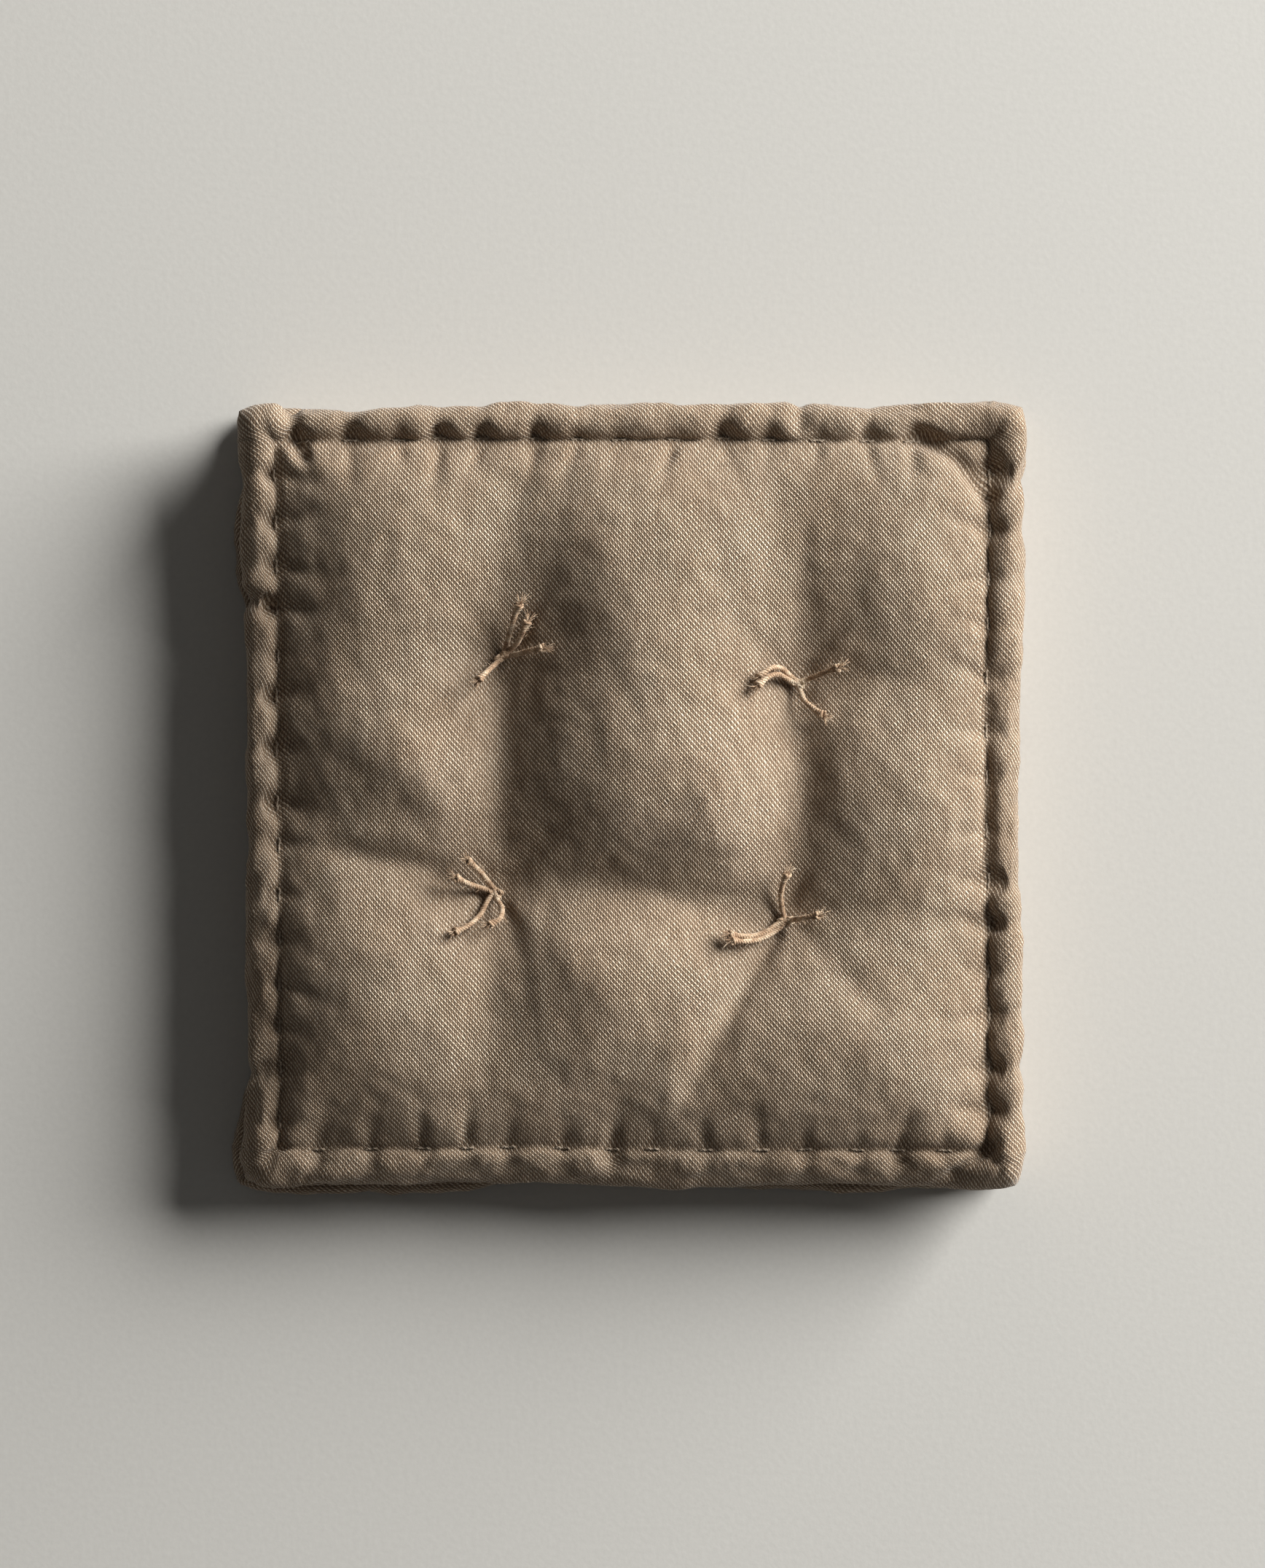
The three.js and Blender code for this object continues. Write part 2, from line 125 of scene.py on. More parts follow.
def unit(vectors):
    return vectors / np.maximum(np.linalg.norm(vectors, axis=-1, keepdims=True), 1e-12)


def distances_along(path):
    """How far along a path each of its points lies."""
    return np.concatenate([[0], np.cumsum(np.linalg.norm(np.diff(path, axis=0), axis=1))])


def smooth_path(points, spacing):
    """Points at an even spacing on a Catmull-Rom curve through a few given ones."""
    points = np.asarray(points, float)
    knots = np.concatenate([[2 * points[0] - points[1]], points, [2 * points[-1] - points[-2]]])
    share = np.linspace(0, 1, CURVE_STEPS, endpoint=False)[:, None]
    pieces = []
    for a, b, c, d in zip(knots, knots[1:], knots[2:], knots[3:]):
        curve = 2 * b + (c - a) * share + (2 * a - 5 * b + 4 * c - d) * share ** 2
        pieces.append((curve + (3 * b - a - 3 * c + d) * share ** 3) / 2)
    fine = np.concatenate(pieces + [points[-1:]])
    along = distances_along(fine)
    count = max(2, int(round(along[-1] / spacing)) + 1)
    even = np.linspace(0, along[-1], count)
    return np.stack([np.interp(even, along, fine[:, k]) for k in range(3)], axis=-1)


def frames_along(path):
    """Two unit vectors across a path at each of its points, turning as little as possible."""
    tangent = unit(np.gradient(path, axis=0))
    side = np.cross(tangent[0], [0, 0, 1])
    if np.linalg.norm(side) < 0.1:
        side = np.cross(tangent[0], [1, 0, 0])
    across = []
    for direction in tangent:
        side = unit(side - direction * (side @ direction))
        across.append(side)
    across = np.array(across)
    return across, np.cross(tangent, across)


def tube(path, radius, sides):
    """Points and faces of a closed tube along a path; radius may vary from point to point."""
    across, over = frames_along(path)
    radius = np.broadcast_to(radius, len(path))[:, None, None]
    turn = np.linspace(0, 2 * math.pi, sides, endpoint=False)[None, :, None]
    rings = path[:, None] + radius * (np.cos(turn) * across[:, None] + np.sin(turn) * over[:, None])
    points = np.concatenate([rings.reshape(-1, 3), path[:1], path[-1:]])
    faces = []
    for ring in range(len(path) - 1):
        for k in range(sides):
            a, b = ring * sides + k, ring * sides + (k + 1) % sides
            faces.append((a, b, b + sides, a + sides))
    first, last = len(points) - 2, len(points) - 1
    for k in range(sides):
        after = (k + 1) % sides
        faces.append((first, after, k))
        faces.append((last, (len(path) - 1) * sides + k, (len(path) - 1) * sides + after))
    return points, faces


def joined(parts):
    """Several lists of points and faces as one."""
    points, faces, start = [], [], 0
    for part_points, part_faces in parts:
        points.append(part_points)
        faces.extend(tuple(start + k for k in face) for face in part_faces)
        start += len(part_points)
    return np.concatenate(points), faces


def twisted(path, radius, plies, lay_length, sides=6, flare=0.0):
    """A twine of a few plies twisted around a path. flare is how far the plies spread at its far end."""
    across, over = frames_along(path)
    along = distances_along(path)
    ply_radius = radius * PLY_SHARE[plies]
    near_cut = np.clip(1 - (along[-1] - along) / (FLARE_REACH * radius), 0, 1)
    spread = (radius - ply_radius) + flare * near_cut ** 2
    parts = []
    for ply in range(plies):
        turn = 2 * math.pi * (along / lay_length + ply / plies)
        line = path + spread[:, None] * (np.cos(turn)[:, None] * across + np.sin(turn)[:, None] * over)
        parts.append(tube(line, ply_radius, sides))
    return joined(parts)


def quads(grid):
    """The faces between the rows and columns of a grid of point numbers."""
    return np.stack([grid[:-1, :-1], grid[1:, :-1], grid[1:, 1:], grid[:-1, 1:]], axis=-1).reshape(-1, 4)


def numbered(rows, columns):
    return np.arange(rows * columns).reshape(rows, columns)


def add_piece(name, points, faces, slot, node=None):
    """A new smooth-shaded piece on the only body there is, in place of a CAD node if one is given."""
    mesh = bpy.data.meshes.new(name)
    mesh.from_pydata(np.asarray(points).tolist(), [], [tuple(map(int, face)) for face in faces])
    mesh.update()
    mesh.shade_smooth()
    mesh.materials.append(MATERIALS[slot])
    piece = bpy.data.objects.new(name, mesh)
    bpy.context.scene.collection.objects.link(piece)
    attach(piece, "root")
    if node:
        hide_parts(node)
    return piece


# ---- Materials ----

def new_material(name, roughness, sheen, sheen_roughness, sheen_tint, specular):
    """A material with its shader's uniform values set, and the nodes to build on."""
    material = bpy.data.materials.new(name)
    material.use_nodes = True
    tree = material.node_tree
    shader = tree.nodes["Principled BSDF"]
    shader.inputs["Roughness"].default_value = roughness
    shader.inputs["Sheen Weight"].default_value = sheen
    shader.inputs["Sheen Roughness"].default_value = sheen_roughness
    shader.inputs["Sheen Tint"].default_value = (*sheen_tint, 1)
    shader.inputs["Specular IOR Level"].default_value = specular
    return material, tree, shader


def put(tree, socket, value):
    """Links a value that is a socket, or sets one that is a number or a vector."""
    if isinstance(value, bpy.types.NodeSocket):
        tree.links.new(value, socket)
    else:
        socket.default_value = value


def calculate(tree, operation, *values):
    """The result of a Math node."""
    node = tree.nodes.new("ShaderNodeMath")
    node.operation = operation
    for socket, value in zip(node.inputs, values):
        put(tree, socket, value)
    return node.outputs[0]


def combine(tree, x, y, z):
    node = tree.nodes.new("ShaderNodeCombineXYZ")
    for socket, value in zip(node.inputs, (x, y, z)):
        put(tree, socket, value)
    return node.outputs[0]


def noise(tree, vector, scale, detail=2.0):
    """A noise from 0 to 1 around 0.5."""
    node = tree.nodes.new("ShaderNodeTexNoise")
    put(tree, node.inputs["Vector"], vector)
    node.inputs["Scale"].default_value = scale
    node.inputs["Detail"].default_value = detail
    return node.outputs["Fac"]


def ramp(tree, value, stops):
    """A colour that changes with a value, through (place, colour) stops."""
    node = tree.nodes.new("ShaderNodeValToRGB")
    elements = node.color_ramp.elements
    for place, _ in stops[2:]:
        elements.new(place)
    for element, (place, colour) in zip(elements, stops):
        element.position = place
        element.color = (*colour, 1)
    put(tree, node.inputs["Fac"], value)
    return node.outputs["Color"]


def mixed(tree, share, a, b, blend="MIX"):
    node = tree.nodes.new("ShaderNodeMix")
    node.data_type = "RGBA"
    node.blend_type = blend
    put(tree, node.inputs["Factor"], share)
    put(tree, node.inputs["A"], a if isinstance(a, bpy.types.NodeSocket) else (*a, 1))
    put(tree, node.inputs["B"], b if isinstance(b, bpy.types.NodeSocket) else (*b, 1))
    return node.outputs["Result"]


def bumped(tree, shader, height, distance, strength=1.0):
    node = tree.nodes.new("ShaderNodeBump")
    node.inputs["Strength"].default_value = strength
    node.inputs["Distance"].default_value = distance
    put(tree, node.inputs["Height"], height)
    tree.links.new(node.outputs["Normal"], shader.inputs["Normal"])


# The weave of the cover.
WARP_PITCH = 1.42 * MM  # from yarn to yarn, left to right
WEFT_PITCH = 1.57 * MM  # front to back
YARN_WANDER = 3.0  # in yarn pitches, from one side to the other, at most
WANDER_SCALE = 90.0
YARN_RELIEF = 0.65 * MM
YARN_SLANT = 0.2  # how far the twist of the yarn turns each crown
THINNEST_YARN = 0.28  # half width, in yarn pitches
SLUB = 0.36  # how much wider a yarn may be
TROUGH = 0.22  # height of a yarn where it passes under, against its crown
WEFT_HEIGHT = 0.46  # of the warp's crowns
FIBRE_SHARE = 0.5  # of the tone that comes from fibres; the rest is the yarn's own
FIBRE_RELIEF = 0.35
BLOTCHES = 0.55  # how strongly the cloth is blotched
YARN_COLOURS = [
    (0.22, (0.32, 0.252, 0.186)),
    (0.42, (0.515, 0.425, 0.33)),
    (0.6, (0.73, 0.63, 0.51)),
    (0.8, (0.93, 0.86, 0.74)),
]
BLOTCH_COLOURS = [(0.3, (0.84, 0.77, 0.71)), (0.7, (1.0, 1.0, 1.0))]
# Painted shade: the cloth's colour is multiplied by this ramp of the weave's height, darkest in the gaps
# between yarns and where a yarn passes under.
PAINTED_WEAVE_SHADE = [(0.10, (0.09, 0.065, 0.05)), (0.42, (0.46, 0.39, 0.33)), (0.80, (1.0, 1.0, 1.0))]


def yarn_tone(tree, number, along, seed):
    """A tone from 0 to 1 that differs from yarn to yarn and drifts slowly along each."""
    return noise(tree, combine(tree, calculate(tree, "MULTIPLY", number, 7.31), along, seed), 1.0)


def yarn(tree, across, along, sign, seed):
    """Height of one system of yarns, from 0 in the gaps to 1 on the crowns, and its tone."""
    do = functools.partial(calculate, tree)
    number = do("FLOOR", across)
    phase = do("ADD", do("SUBTRACT", along, 0.5), number)
    turn = do("MULTIPLY", phase, math.pi)
    slant = do("MULTIPLY", do("SINE", turn), sign * YARN_SLANT)
    place = do("ADD", do("SUBTRACT", do("FRACT", across), 0.5), slant)
    tone = yarn_tone(tree, number, do("MULTIPLY", along, 0.12), seed)
    slub = yarn_tone(tree, number, do("MULTIPLY", along, 0.35), seed + 9.0)
    share = do("DIVIDE", place, do("ADD", do("MULTIPLY", slub, SLUB), THINNEST_YARN))
    hollow = do("SUBTRACT", 1.0, do("MULTIPLY", share, share))
    round_section = do("SQRT", do("MAXIMUM", hollow, 0.0))
    swing = do("MULTIPLY_ADD", do("COSINE", turn), 0.5 * sign, 0.5)
    height = do("MULTIPLY", round_section, do("MULTIPLY_ADD", swing, 1 - TROUGH, TROUGH))
    return height, tone


def woven(tree, place):
    """Height and tone of the plain weave at a place on the flat cloth."""
    do = functools.partial(calculate, tree)
    split = tree.nodes.new("ShaderNodeSeparateXYZ")
    tree.links.new(place, split.inputs[0])
    drift = do("MULTIPLY", do("SUBTRACT", noise(tree, place, WANDER_SCALE), 0.5), YARN_WANDER)
    u = do("ADD", do("DIVIDE", split.outputs[0], WARP_PITCH), drift)
    v = do("SUBTRACT", do("DIVIDE", split.outputs[1], WEFT_PITCH), drift)
    warp, warp_tone = yarn(tree, u, v, 1.0, 1.7)
    weft, weft_tone = yarn(tree, v, u, -1.0, 5.3)
    weft = do("MULTIPLY", weft, WEFT_HEIGHT)
    tone = tree.nodes.new("ShaderNodeMix")
    put(tree, tone.inputs["Factor"], do("GREATER_THAN", warp, weft))
    put(tree, tone.inputs["A"], weft_tone)
    put(tree, tone.inputs["B"], warp_tone)
    return do("MAXIMUM", warp, weft), tone.outputs["Result"]


def cloth_material():
    """Coarse plain-weave linen: thick and thin yarns, over and under each other, with painted shade that
    darkens them where the weave lies low, most in the gaps.
    """
    material, tree, shader = new_material("cover_cloth", 0.9, 0.35, 0.3, (1.0, 0.98, 0.97), 0.12)
    do = functools.partial(calculate, tree)
    grain = tree.nodes.new("ShaderNodeAttribute")
    grain.attribute_name = "grain"
    place = grain.outputs["Vector"]
    height, tone = woven(tree, place)
    fibre = noise(tree, place, 2600.0, 3.0)
    blotch = noise(tree, place, 22.0, 3.0)
    tone = do("ADD", do("MULTIPLY", tone, 1 - FIBRE_SHARE), do("MULTIPLY", fibre, FIBRE_SHARE))
    blotches = ramp(tree, blotch, BLOTCH_COLOURS)
    colour = mixed(tree, BLOTCHES, ramp(tree, tone, YARN_COLOURS), blotches, "MULTIPLY")
    # Painted shade: the colour darkens where the weave lies low, most in its gaps.
    colour = mixed(tree, 1.0, colour, ramp(tree, height, PAINTED_WEAVE_SHADE), "MULTIPLY")
    put(tree, shader.inputs["Base Color"], colour)
    rough = do("ADD", do("MULTIPLY", fibre, FIBRE_RELIEF), 0.15)
    bumped(tree, shader, do("ADD", height, rough), YARN_RELIEF)
    return material


JUTE_COLOURS = [(0.34, (0.15, 0.08, 0.045)), (0.49, (0.44, 0.29, 0.18)), (0.66, (0.93, 0.80, 0.62))]
THREAD_COLOURS = [(0.3, (0.24, 0.18, 0.13)), (0.5, (0.42, 0.34, 0.26)), (0.7, (0.60, 0.51, 0.41))]
WADDING_COLOURS = [(0.3, (0.55, 0.48, 0.38)), (0.7, (0.82, 0.76, 0.66))]
FLECK_COLOURS = [(0.28, (0.45, 0.33, 0.24)), (0.42, (1.0, 1.0, 1.0))]
FLOOR_COLOURS = [(0.2, (0.600, 0.592, 0.566)), (0.8, (0.640, 0.632, 0.604))]


def twine_material(name, colours, roughness):
    """Twisted bast fibre: streaks along the twist, darker between the plies, loose pale hairs."""
    material, tree, shader = new_material(name, roughness, 0.25, 0.5, (1.0, 0.9, 0.75), 0.3)
    place = tree.nodes.new("ShaderNodeTexCoord").outputs["Object"]
    fine = noise(tree, place, 2200.0, 4.0)
    broad = noise(tree, place, 180.0, 2.0)
    do = functools.partial(calculate, tree)
    tone = do("ADD", do("MULTIPLY", fine, 0.6), do("MULTIPLY", broad, 0.4))
    put(tree, shader.inputs["Base Color"], ramp(tree, tone, colours))
    bumped(tree, shader, fine, 0.15 * MM)
    return material


def filling_material():
    """Carded cotton and wool: matted fibres with darker flecks."""
    material, tree, shader = new_material("filling", 1.0, 0.3, 0.6, (1.0, 0.97, 0.9), 0.1)
    place = tree.nodes.new("ShaderNodeTexCoord").outputs["Object"]
    mat = noise(tree, place, 60.0, 6.0)
    fleck = noise(tree, place, 900.0, 2.0)
    pale = ramp(tree, mat, WADDING_COLOURS)
    flecked = mixed(tree, 0.7, pale, ramp(tree, fleck, FLECK_COLOURS), "MULTIPLY")
    put(tree, shader.inputs["Base Color"], flecked)
    bumped(tree, shader, mat, 2 * MM)
    return material


def floor_material():
    """A smooth, matt, pale floor with the least mottle."""
    material, tree, shader = new_material("floor", 0.75, 0.0, 0.5, (1.0, 1.0, 1.0), 0.2)
    place = tree.nodes.new("ShaderNodeTexCoord").outputs["Object"]
    grain = noise(tree, place, 300.0, 3.0)
    put(tree, shader.inputs["Base Color"], ramp(tree, grain, FLOOR_COLOURS))
    bumped(tree, shader, grain, 0.05 * MM)
    return material


MATERIALS = {
    "cover_cloth": cloth_material(),
    "jute_twine": twine_material("jute_twine", JUTE_COLOURS, 0.8),
    "stitch_thread": twine_material("stitch_thread", THREAD_COLOURS, 0.75),
    "filling": filling_material(),
}


# ---- Camera, light and floor ----

VIEW_HEIGHT = 900.4 * MM  # how much of the plane of the upper rolls the picture takes in, from top to bottom
VIEW_CENTRE = (0, 6.9 * MM)
LENS = 85
SENSOR = 36
KEY_AZIMUTH = math.radians(31)  # from +X towards +Y
KEY_ELEVATION = math.radians(20.5)
KEY_DISTANCE = 8
KEY_SIZE = 6.2
KEY_POWER = 1860
FILL_STRENGTH = 0.072


def add_camera():
    camera = bpy.data.objects.new("camera", bpy.data.cameras.new("camera"))
    camera.data.lens = LENS
    camera.data.sensor_width = SENSOR
    camera.location = (*VIEW_CENTRE, EDGE_HEIGHT + VIEW_HEIGHT * LENS / SENSOR)
    bpy.context.scene.collection.objects.link(camera)
    bpy.context.scene.camera = camera


def add_light():
    """One large soft light, low at the right, and a weak even fill."""
    direction = Vector((
        math.cos(KEY_AZIMUTH) * math.cos(KEY_ELEVATION),
        math.sin(KEY_AZIMUTH) * math.cos(KEY_ELEVATION),
        math.sin(KEY_ELEVATION),
    ))
    light = bpy.data.lights.new("key", "AREA")
    light.shape = "DISK"
    light.size = KEY_SIZE
    light.energy = KEY_POWER
    light.color = (1.0, 0.985, 0.955)
    key = bpy.data.objects.new("key", light)
    key.location = direction * KEY_DISTANCE
    key.rotation_mode = "QUATERNION"
    key.rotation_quaternion = direction.to_track_quat("Z", "Y")
    bpy.context.scene.collection.objects.link(key)
    world = bpy.data.worlds.new("studio")
    world.use_nodes = True
    background = world.node_tree.nodes["Background"]
    background.inputs["Color"].default_value = (1.0, 0.97, 0.93, 1)
    background.inputs["Strength"].default_value = FILL_STRENGTH
    bpy.context.scene.world = world


def add_floor():
    size = 4.0
    mesh = bpy.data.meshes.new("floor")
    corners = [(-size, -size, 0), (size, -size, 0), (size, size, 0), (-size, size, 0)]
    mesh.from_pydata(corners, [], [(0, 1, 2, 3)])
    mesh.materials.append(floor_material())
    floor = bpy.data.objects.new("floor", mesh)
    bpy.context.scene.collection.objects.link(floor)


add_camera()
add_light()
add_floor()
bpy.context.scene.view_settings.view_transform = "Standard"


# ---- Tufts: knots, ties and loose ends ----

TWINE = 2 * MM
TIE_TWINE = 3 * MM
LEG_SPACING = 8 * MM
TIE_BOW = ((-1, 0), (-0.7, 0.7), (0, 1), (0.7, 0.7), (1, 0))  # across the underside, in half spacings
GAP = 0.3 * MM
JUTE_LAY = 5 * MM  # the length of one full twist
PLY_STEP = 0.35 * MM
SLACK_TWINE = 3.3 * MM  # across a loose end, where nothing holds its plies together
END_FLARE = 1.5 * MM

# The four loose ends of each knot, as the points that each passes through, from the cloth under the knot, in
# millimetres. They are the CAD model's own.
TAILS = {
    "back_left": {
        "a": [(2, 5.2, 3.6), (4, 12, 8), (7, 21, 15), (10.5, 29.3, 19.5)],
        "b": [(4.1, 3.8, 3.8), (9, 8, 9.5), (12.5, 14.5, 15.5), (15.1, 19.7, 17)],
        "c": [(5.4, 0.9, 4), (11.5, 2, 10.5), (18, 3.6, 17), (23.9, 4.6, 20)],
        "d": [(-3.2, -3.6, 5), (-5.4, -6.2, 13), (-8.8, -9.8, 20), (-12.6, -13.8, 22.4)],
    },
    "back_right": {
        "a": [(-4, 3.8, 4), (-10.5, 8.5, 10), (-17, 7.5, 16), (-22.6, 2.9, 17.5)],
        "b": [(-5.2, 1.6, 5.5), (-11.5, 4.6, 12.2), (-17.5, 3, 17.8), (-23.4, -2, 20.5)],
        "c": [(5.3, 2, 4), (11, 4.2, 9), (17, 6.6, 14), (22.6, 8.4, 17.5)],
        "d": [(1.8, -5.2, 3.8), (4, -10.5, 7.5), (9, -15, 12.5), (14.2, -18.8, 16)],
    },
    "front_left": {
        "a": [(-3, 4.6, 3.8), (-7.5, 10.5, 8.5), (-11.5, 14.8, 13), (-15.5, 18.4, 16)],
        "b": [(-5.4, 1.4, 3.8), (-12, 3.6, 9), (-17.5, 6, 14), (-22.2, 8.4, 16.5)],
        "c": [(-3.8, -4.2, 3.6), (-8.4, -13, 8), (-15, -19.2, 14.5), (-22.6, -22.6, 18.5)],
        "d": [(1.6, -5, 4.6), (4.4, -9.8, 10.6), (2.6, -15.4, 16.4), (-2.8, -18.4, 18.6)],
    },
    "front_right": {
        "a": [(-1.6, 5.5, 3.6), (-3, 14, 8), (-2, 21.5, 13.5), (0.4, 27.6, 16)],
        "b": [(4.2, 1, 5), (7.4, 1.8, 13), (12, 3, 20), (18, 4.2, 22.4)],
        "c": [(-5.1, -1.8, 4.2), (-12, -6, 9.5), (-21, -8.2, 15), (-32.7, -7.1, 20)],
        "d": [(-4.6, -4.6, 4.4), (-12.5, -9, 10.3), (-21.5, -11, 16), (-31.5, -10.4, 20.4)],
    },
}
KNOT_HEIGHT = 3 * MM  # of the middle of a knot above the cloth
KNOT_TURNS = (35, -20, 150, 10)  # degrees, in the order of TUFT_NAMES
# One bight of a square knot in plan, with its height, in millimetres.
BIGHT = [
    (-4.6, -1.3, 0.4), (-2.2, -1.5, 1.3), (0.2, -1.7, -0.9), (2.6, -1.5, -0.6), (3.6, 0, 0.3),
    (2.6, 1.5, -0.6), (0.2, 1.7, -0.9), (-2.2, 1.5, 1.3), (-4.6, 1.3, 0.4),
]
FRAY_REACH = 0.8  # of a loose end, from its cut, over which fibres stand out
FRAY_FIBRES = 60
FRAY_LENGTH = (2.5 * MM, 7 * MM)
FRAY_BEND = (0.3, 1.1)
FIBRE = 0.2 * MM


def under_knot(tuft):
    return np.array([*TUFTS[tuft], TUFT_Z])


def heart_of_knot(tuft):
    return under_knot(tuft) + np.array([0, 0, KNOT_HEIGHT])


def frayed(path, seed):
    """Loose fibres at the cut end of a twine: each leaves it a little before the end and curls away."""
    random = np.random.default_rng(seed)
    across, over = frames_along(path)
    parts = []
    for _ in range(FRAY_FIBRES):
        back = random.uniform(0, 1) ** 3
        start = max(3, int((len(path) - 1) * (1 - FRAY_REACH * back)))
        turn = random.uniform(0, 2 * math.pi)
        outward = math.cos(turn) * across[start] + math.sin(turn) * over[start]
        onward = unit(path[start] - path[start - 2])
        length = random.uniform(*FRAY_LENGTH)
        bend = random.uniform(*FRAY_BEND)
        share = np.linspace(0, 1, 7)[:, None]
        line = path[start] + outward * TWINE * 0.3
        line = line + length * (onward * share + outward * bend * share ** 2 * 0.7)
        parts.append(tube(line, FIBRE * (1 - 0.5 * share[:, 0]), 4))
    return joined(parts)


def add_tails():
    """The loose ends, each a twisted jute twine that comes out of its knot."""
    for number, tuft in enumerate(TUFT_NAMES):
        heart = heart_of_knot(tuft)
        for end, places in TAILS[tuft].items():
            points = under_knot(tuft) + np.array(places) * MM
            path = smooth_path([heart, *points], PLY_STEP)
            twine = twisted(path, SLACK_TWINE / 2, 3, JUTE_LAY, flare=END_FLARE)
            tail = add_piece(f"twine_end_{tuft}_{end}", *twine, "jute_twine", f"{tuft}_tail_{end}")
            fibres = frayed(path, FRAY_SEED + 10 * number + ord(end))
            fray = add_piece(f"fray_{tuft}_{end}", *fibres, "jute_twine")


def add_knots():
    """Each knot is a square knot: two bights, each around the legs of the other."""
    bight = np.array(BIGHT) * MM
    half_round = np.array([-1, -1, 1])
    for tuft, degrees in zip(TUFT_NAMES, KNOT_TURNS):
        cos, sin = math.cos(math.radians(degrees)), math.sin(math.radians(degrees))
        spin = np.array([[cos, sin, 0], [-sin, cos, 0], [0, 0, 1]])
        heart = heart_of_knot(tuft)
        paths = [smooth_path(half @ spin + heart, PLY_STEP) for half in (bight, bight * half_round)]
        knot = joined([twisted(path, TWINE / 2, 3, JUTE_LAY) for path in paths])
        add_piece(f"square_knot_{tuft}", *knot, "jute_twine", f"{tuft}_knot")


def add_ties():
    """The doubled twine of each tuft, down one leg, across the underside and up the other."""
    low = UNDERSIDE_TUFT_Z - 3 * GAP
    half = LEG_SPACING / 2
    bow = [(share * half, low - drop * half) for share, drop in TIE_BOW]
    down = [(-half / 3, TUFT_Z + KNOT_HEIGHT - TWINE / 2), (-half, TUFT_Z - 4 * MM), (-half, TUFT_Z / 2)]
    up = [(-out, z) for out, z in reversed(down)]
    for tuft, (x, y) in TUFTS.items():
        path = smooth_path([(x + out, y, z) for out, z in (*down, *bow, *up)], 2 * PLY_STEP)
        twine = twisted(path, TIE_TWINE / 2, 2, 2 * JUTE_LAY)
        add_piece(f"tuft_loop_{tuft}", *twine, "jute_twine", f"{tuft}_tie")


add_tails()
add_knots()
add_ties()


# ---- The cover's grid ----

PAD_CELLS = 51  # from the middle of a panel to the groove
ROLL_CELLS = 8
TUCK_CELLS = 4  # from the seam down to the stitches below the roll
WALL_CELLS = 12
ROLL_START = math.radians(-75)  # around the roll at the groove; 0 is its top and 90 degrees the seam
ROLL_END = math.radians(90)
TUCK_END = math.radians(170)
CUT_EASE = 1.03  # the cloth is cut this much larger than the stuffing
WALL_BULGE = 2 * MM
CORNER_START = 188 * MM  # from the middle to where a side begins to round into its corner
CORNER_ROUNDNESS = 0.62  # 0 for a sharp corner, 1 for a quarter of a circle


def square(values):
    """The two coordinates of a square grid."""
    return np.meshgrid(values, values, indexing="ij")


class Lines:
    """The grid of the top or bottom panel, from one seam to the other.

    outer is the number of the outer one of the two lines that cross at a point, counted from the middle, and
    sideways says whether the point is nearer to the right or left side than to the front or back.
    """

    def __init__(self, groove_z, roll_z, sign):
        pad = np.linspace(0, GROOVE, PAD_CELLS + 1)
        angles = np.linspace(ROLL_START, ROLL_END, ROLL_CELLS + 1)[1:]
        flat = np.concatenate([pad, GROOVE + ROLL_RADIUS * (angles - ROLL_START)])
        reach = np.concatenate([pad, ROLL_CENTRE + ROLL_RADIUS * np.sin(angles)])
        self.flat = np.concatenate([-flat[:0:-1], flat])
        self.reach = np.concatenate([-reach[:0:-1], reach])
        self.edge_z = np.concatenate([[groove_z], roll_z + sign * ROLL_RADIUS * np.cos(angles)])
        self.count = len(self.flat)
        rank = np.abs(np.arange(self.count) - self.count // 2)
        self.outer = np.maximum.outer(rank, rank)
        self.x, self.y = square(self.reach)
        self.sideways = np.abs(self.x) >= np.abs(self.y)


TOP = Lines(GROOVE_Z, TOP_ROLL_Z, 1)
BOTTOM = Lines(UNDERSIDE_GROOVE, ROLL_RADIUS, -1)
SEAM_FLAT = TOP.flat[-1]


def ear_share(coordinate):
    return np.minimum(1, np.abs(coordinate) / HALF) ** EAR_SHARPNESS


def rounded_corners(x, y):
    """The plain square plan with its corners rounded off."""
    u = np.clip((np.abs(x) - CORNER_START) / (HALF - CORNER_START), 0, 1)
    v = np.clip((np.abs(y) - CORNER_START) / (HALF - CORNER_START), 0, 1)
    shift_x = (HALF - CORNER_START) * u * (1 - np.sqrt(1 - CORNER_ROUNDNESS * v ** 2 / 2))
    shift_y = (HALF - CORNER_START) * v * (1 - np.sqrt(1 - CORNER_ROUNDNESS * u ** 2 / 2))
    return x - np.sign(x) * shift_x, y - np.sign(y) * shift_y


def pulled_to_ears(x, y):
    """Moves points of the plain plan out at the corners."""
    x, y = rounded_corners(x, y)
    share = ear_share(x) * ear_share(y)
    for (side_x, side_y), (out_x, out_y) in EARS.items():
        ear = share * (np.sign(x) == side_x) * (np.sign(y) == side_y)
        x = x + side_x * out_x * ear
        y = y + side_y * out_y * ear
    return x, y


def tuft_distance(x, y):
    return np.min([np.hypot(x - tx, y - ty) for tx, ty in TUFTS.values()], axis=0)


def share_along(x, y, start, end):
    """How far along a straight leg each place lies, from 0 at its start to 1 at its end."""
    (ax, ay), (bx, by) = start, end
    length = math.hypot(bx - ax, by - ay)
    return np.clip(((x - ax) * (bx - ax) + (y - ay) * (by - ay)) / length ** 2, 0, 1)


def distance_to_line(x, y, line):
    """Distance in plan to a line through a few points."""
    nearest = np.full(np.shape(x), np.inf)
    for start, end in zip(line, line[1:]):
        along = share_along(x, y, start, end)
        (ax, ay), (bx, by) = start, end
        nearest = np.minimum(nearest, np.hypot(x - ax - along * (bx - ax), y - ay - along * (by - ay)))
    return nearest


def in_metres(line):
    return [(x * MM, y * MM) for x, y in line]


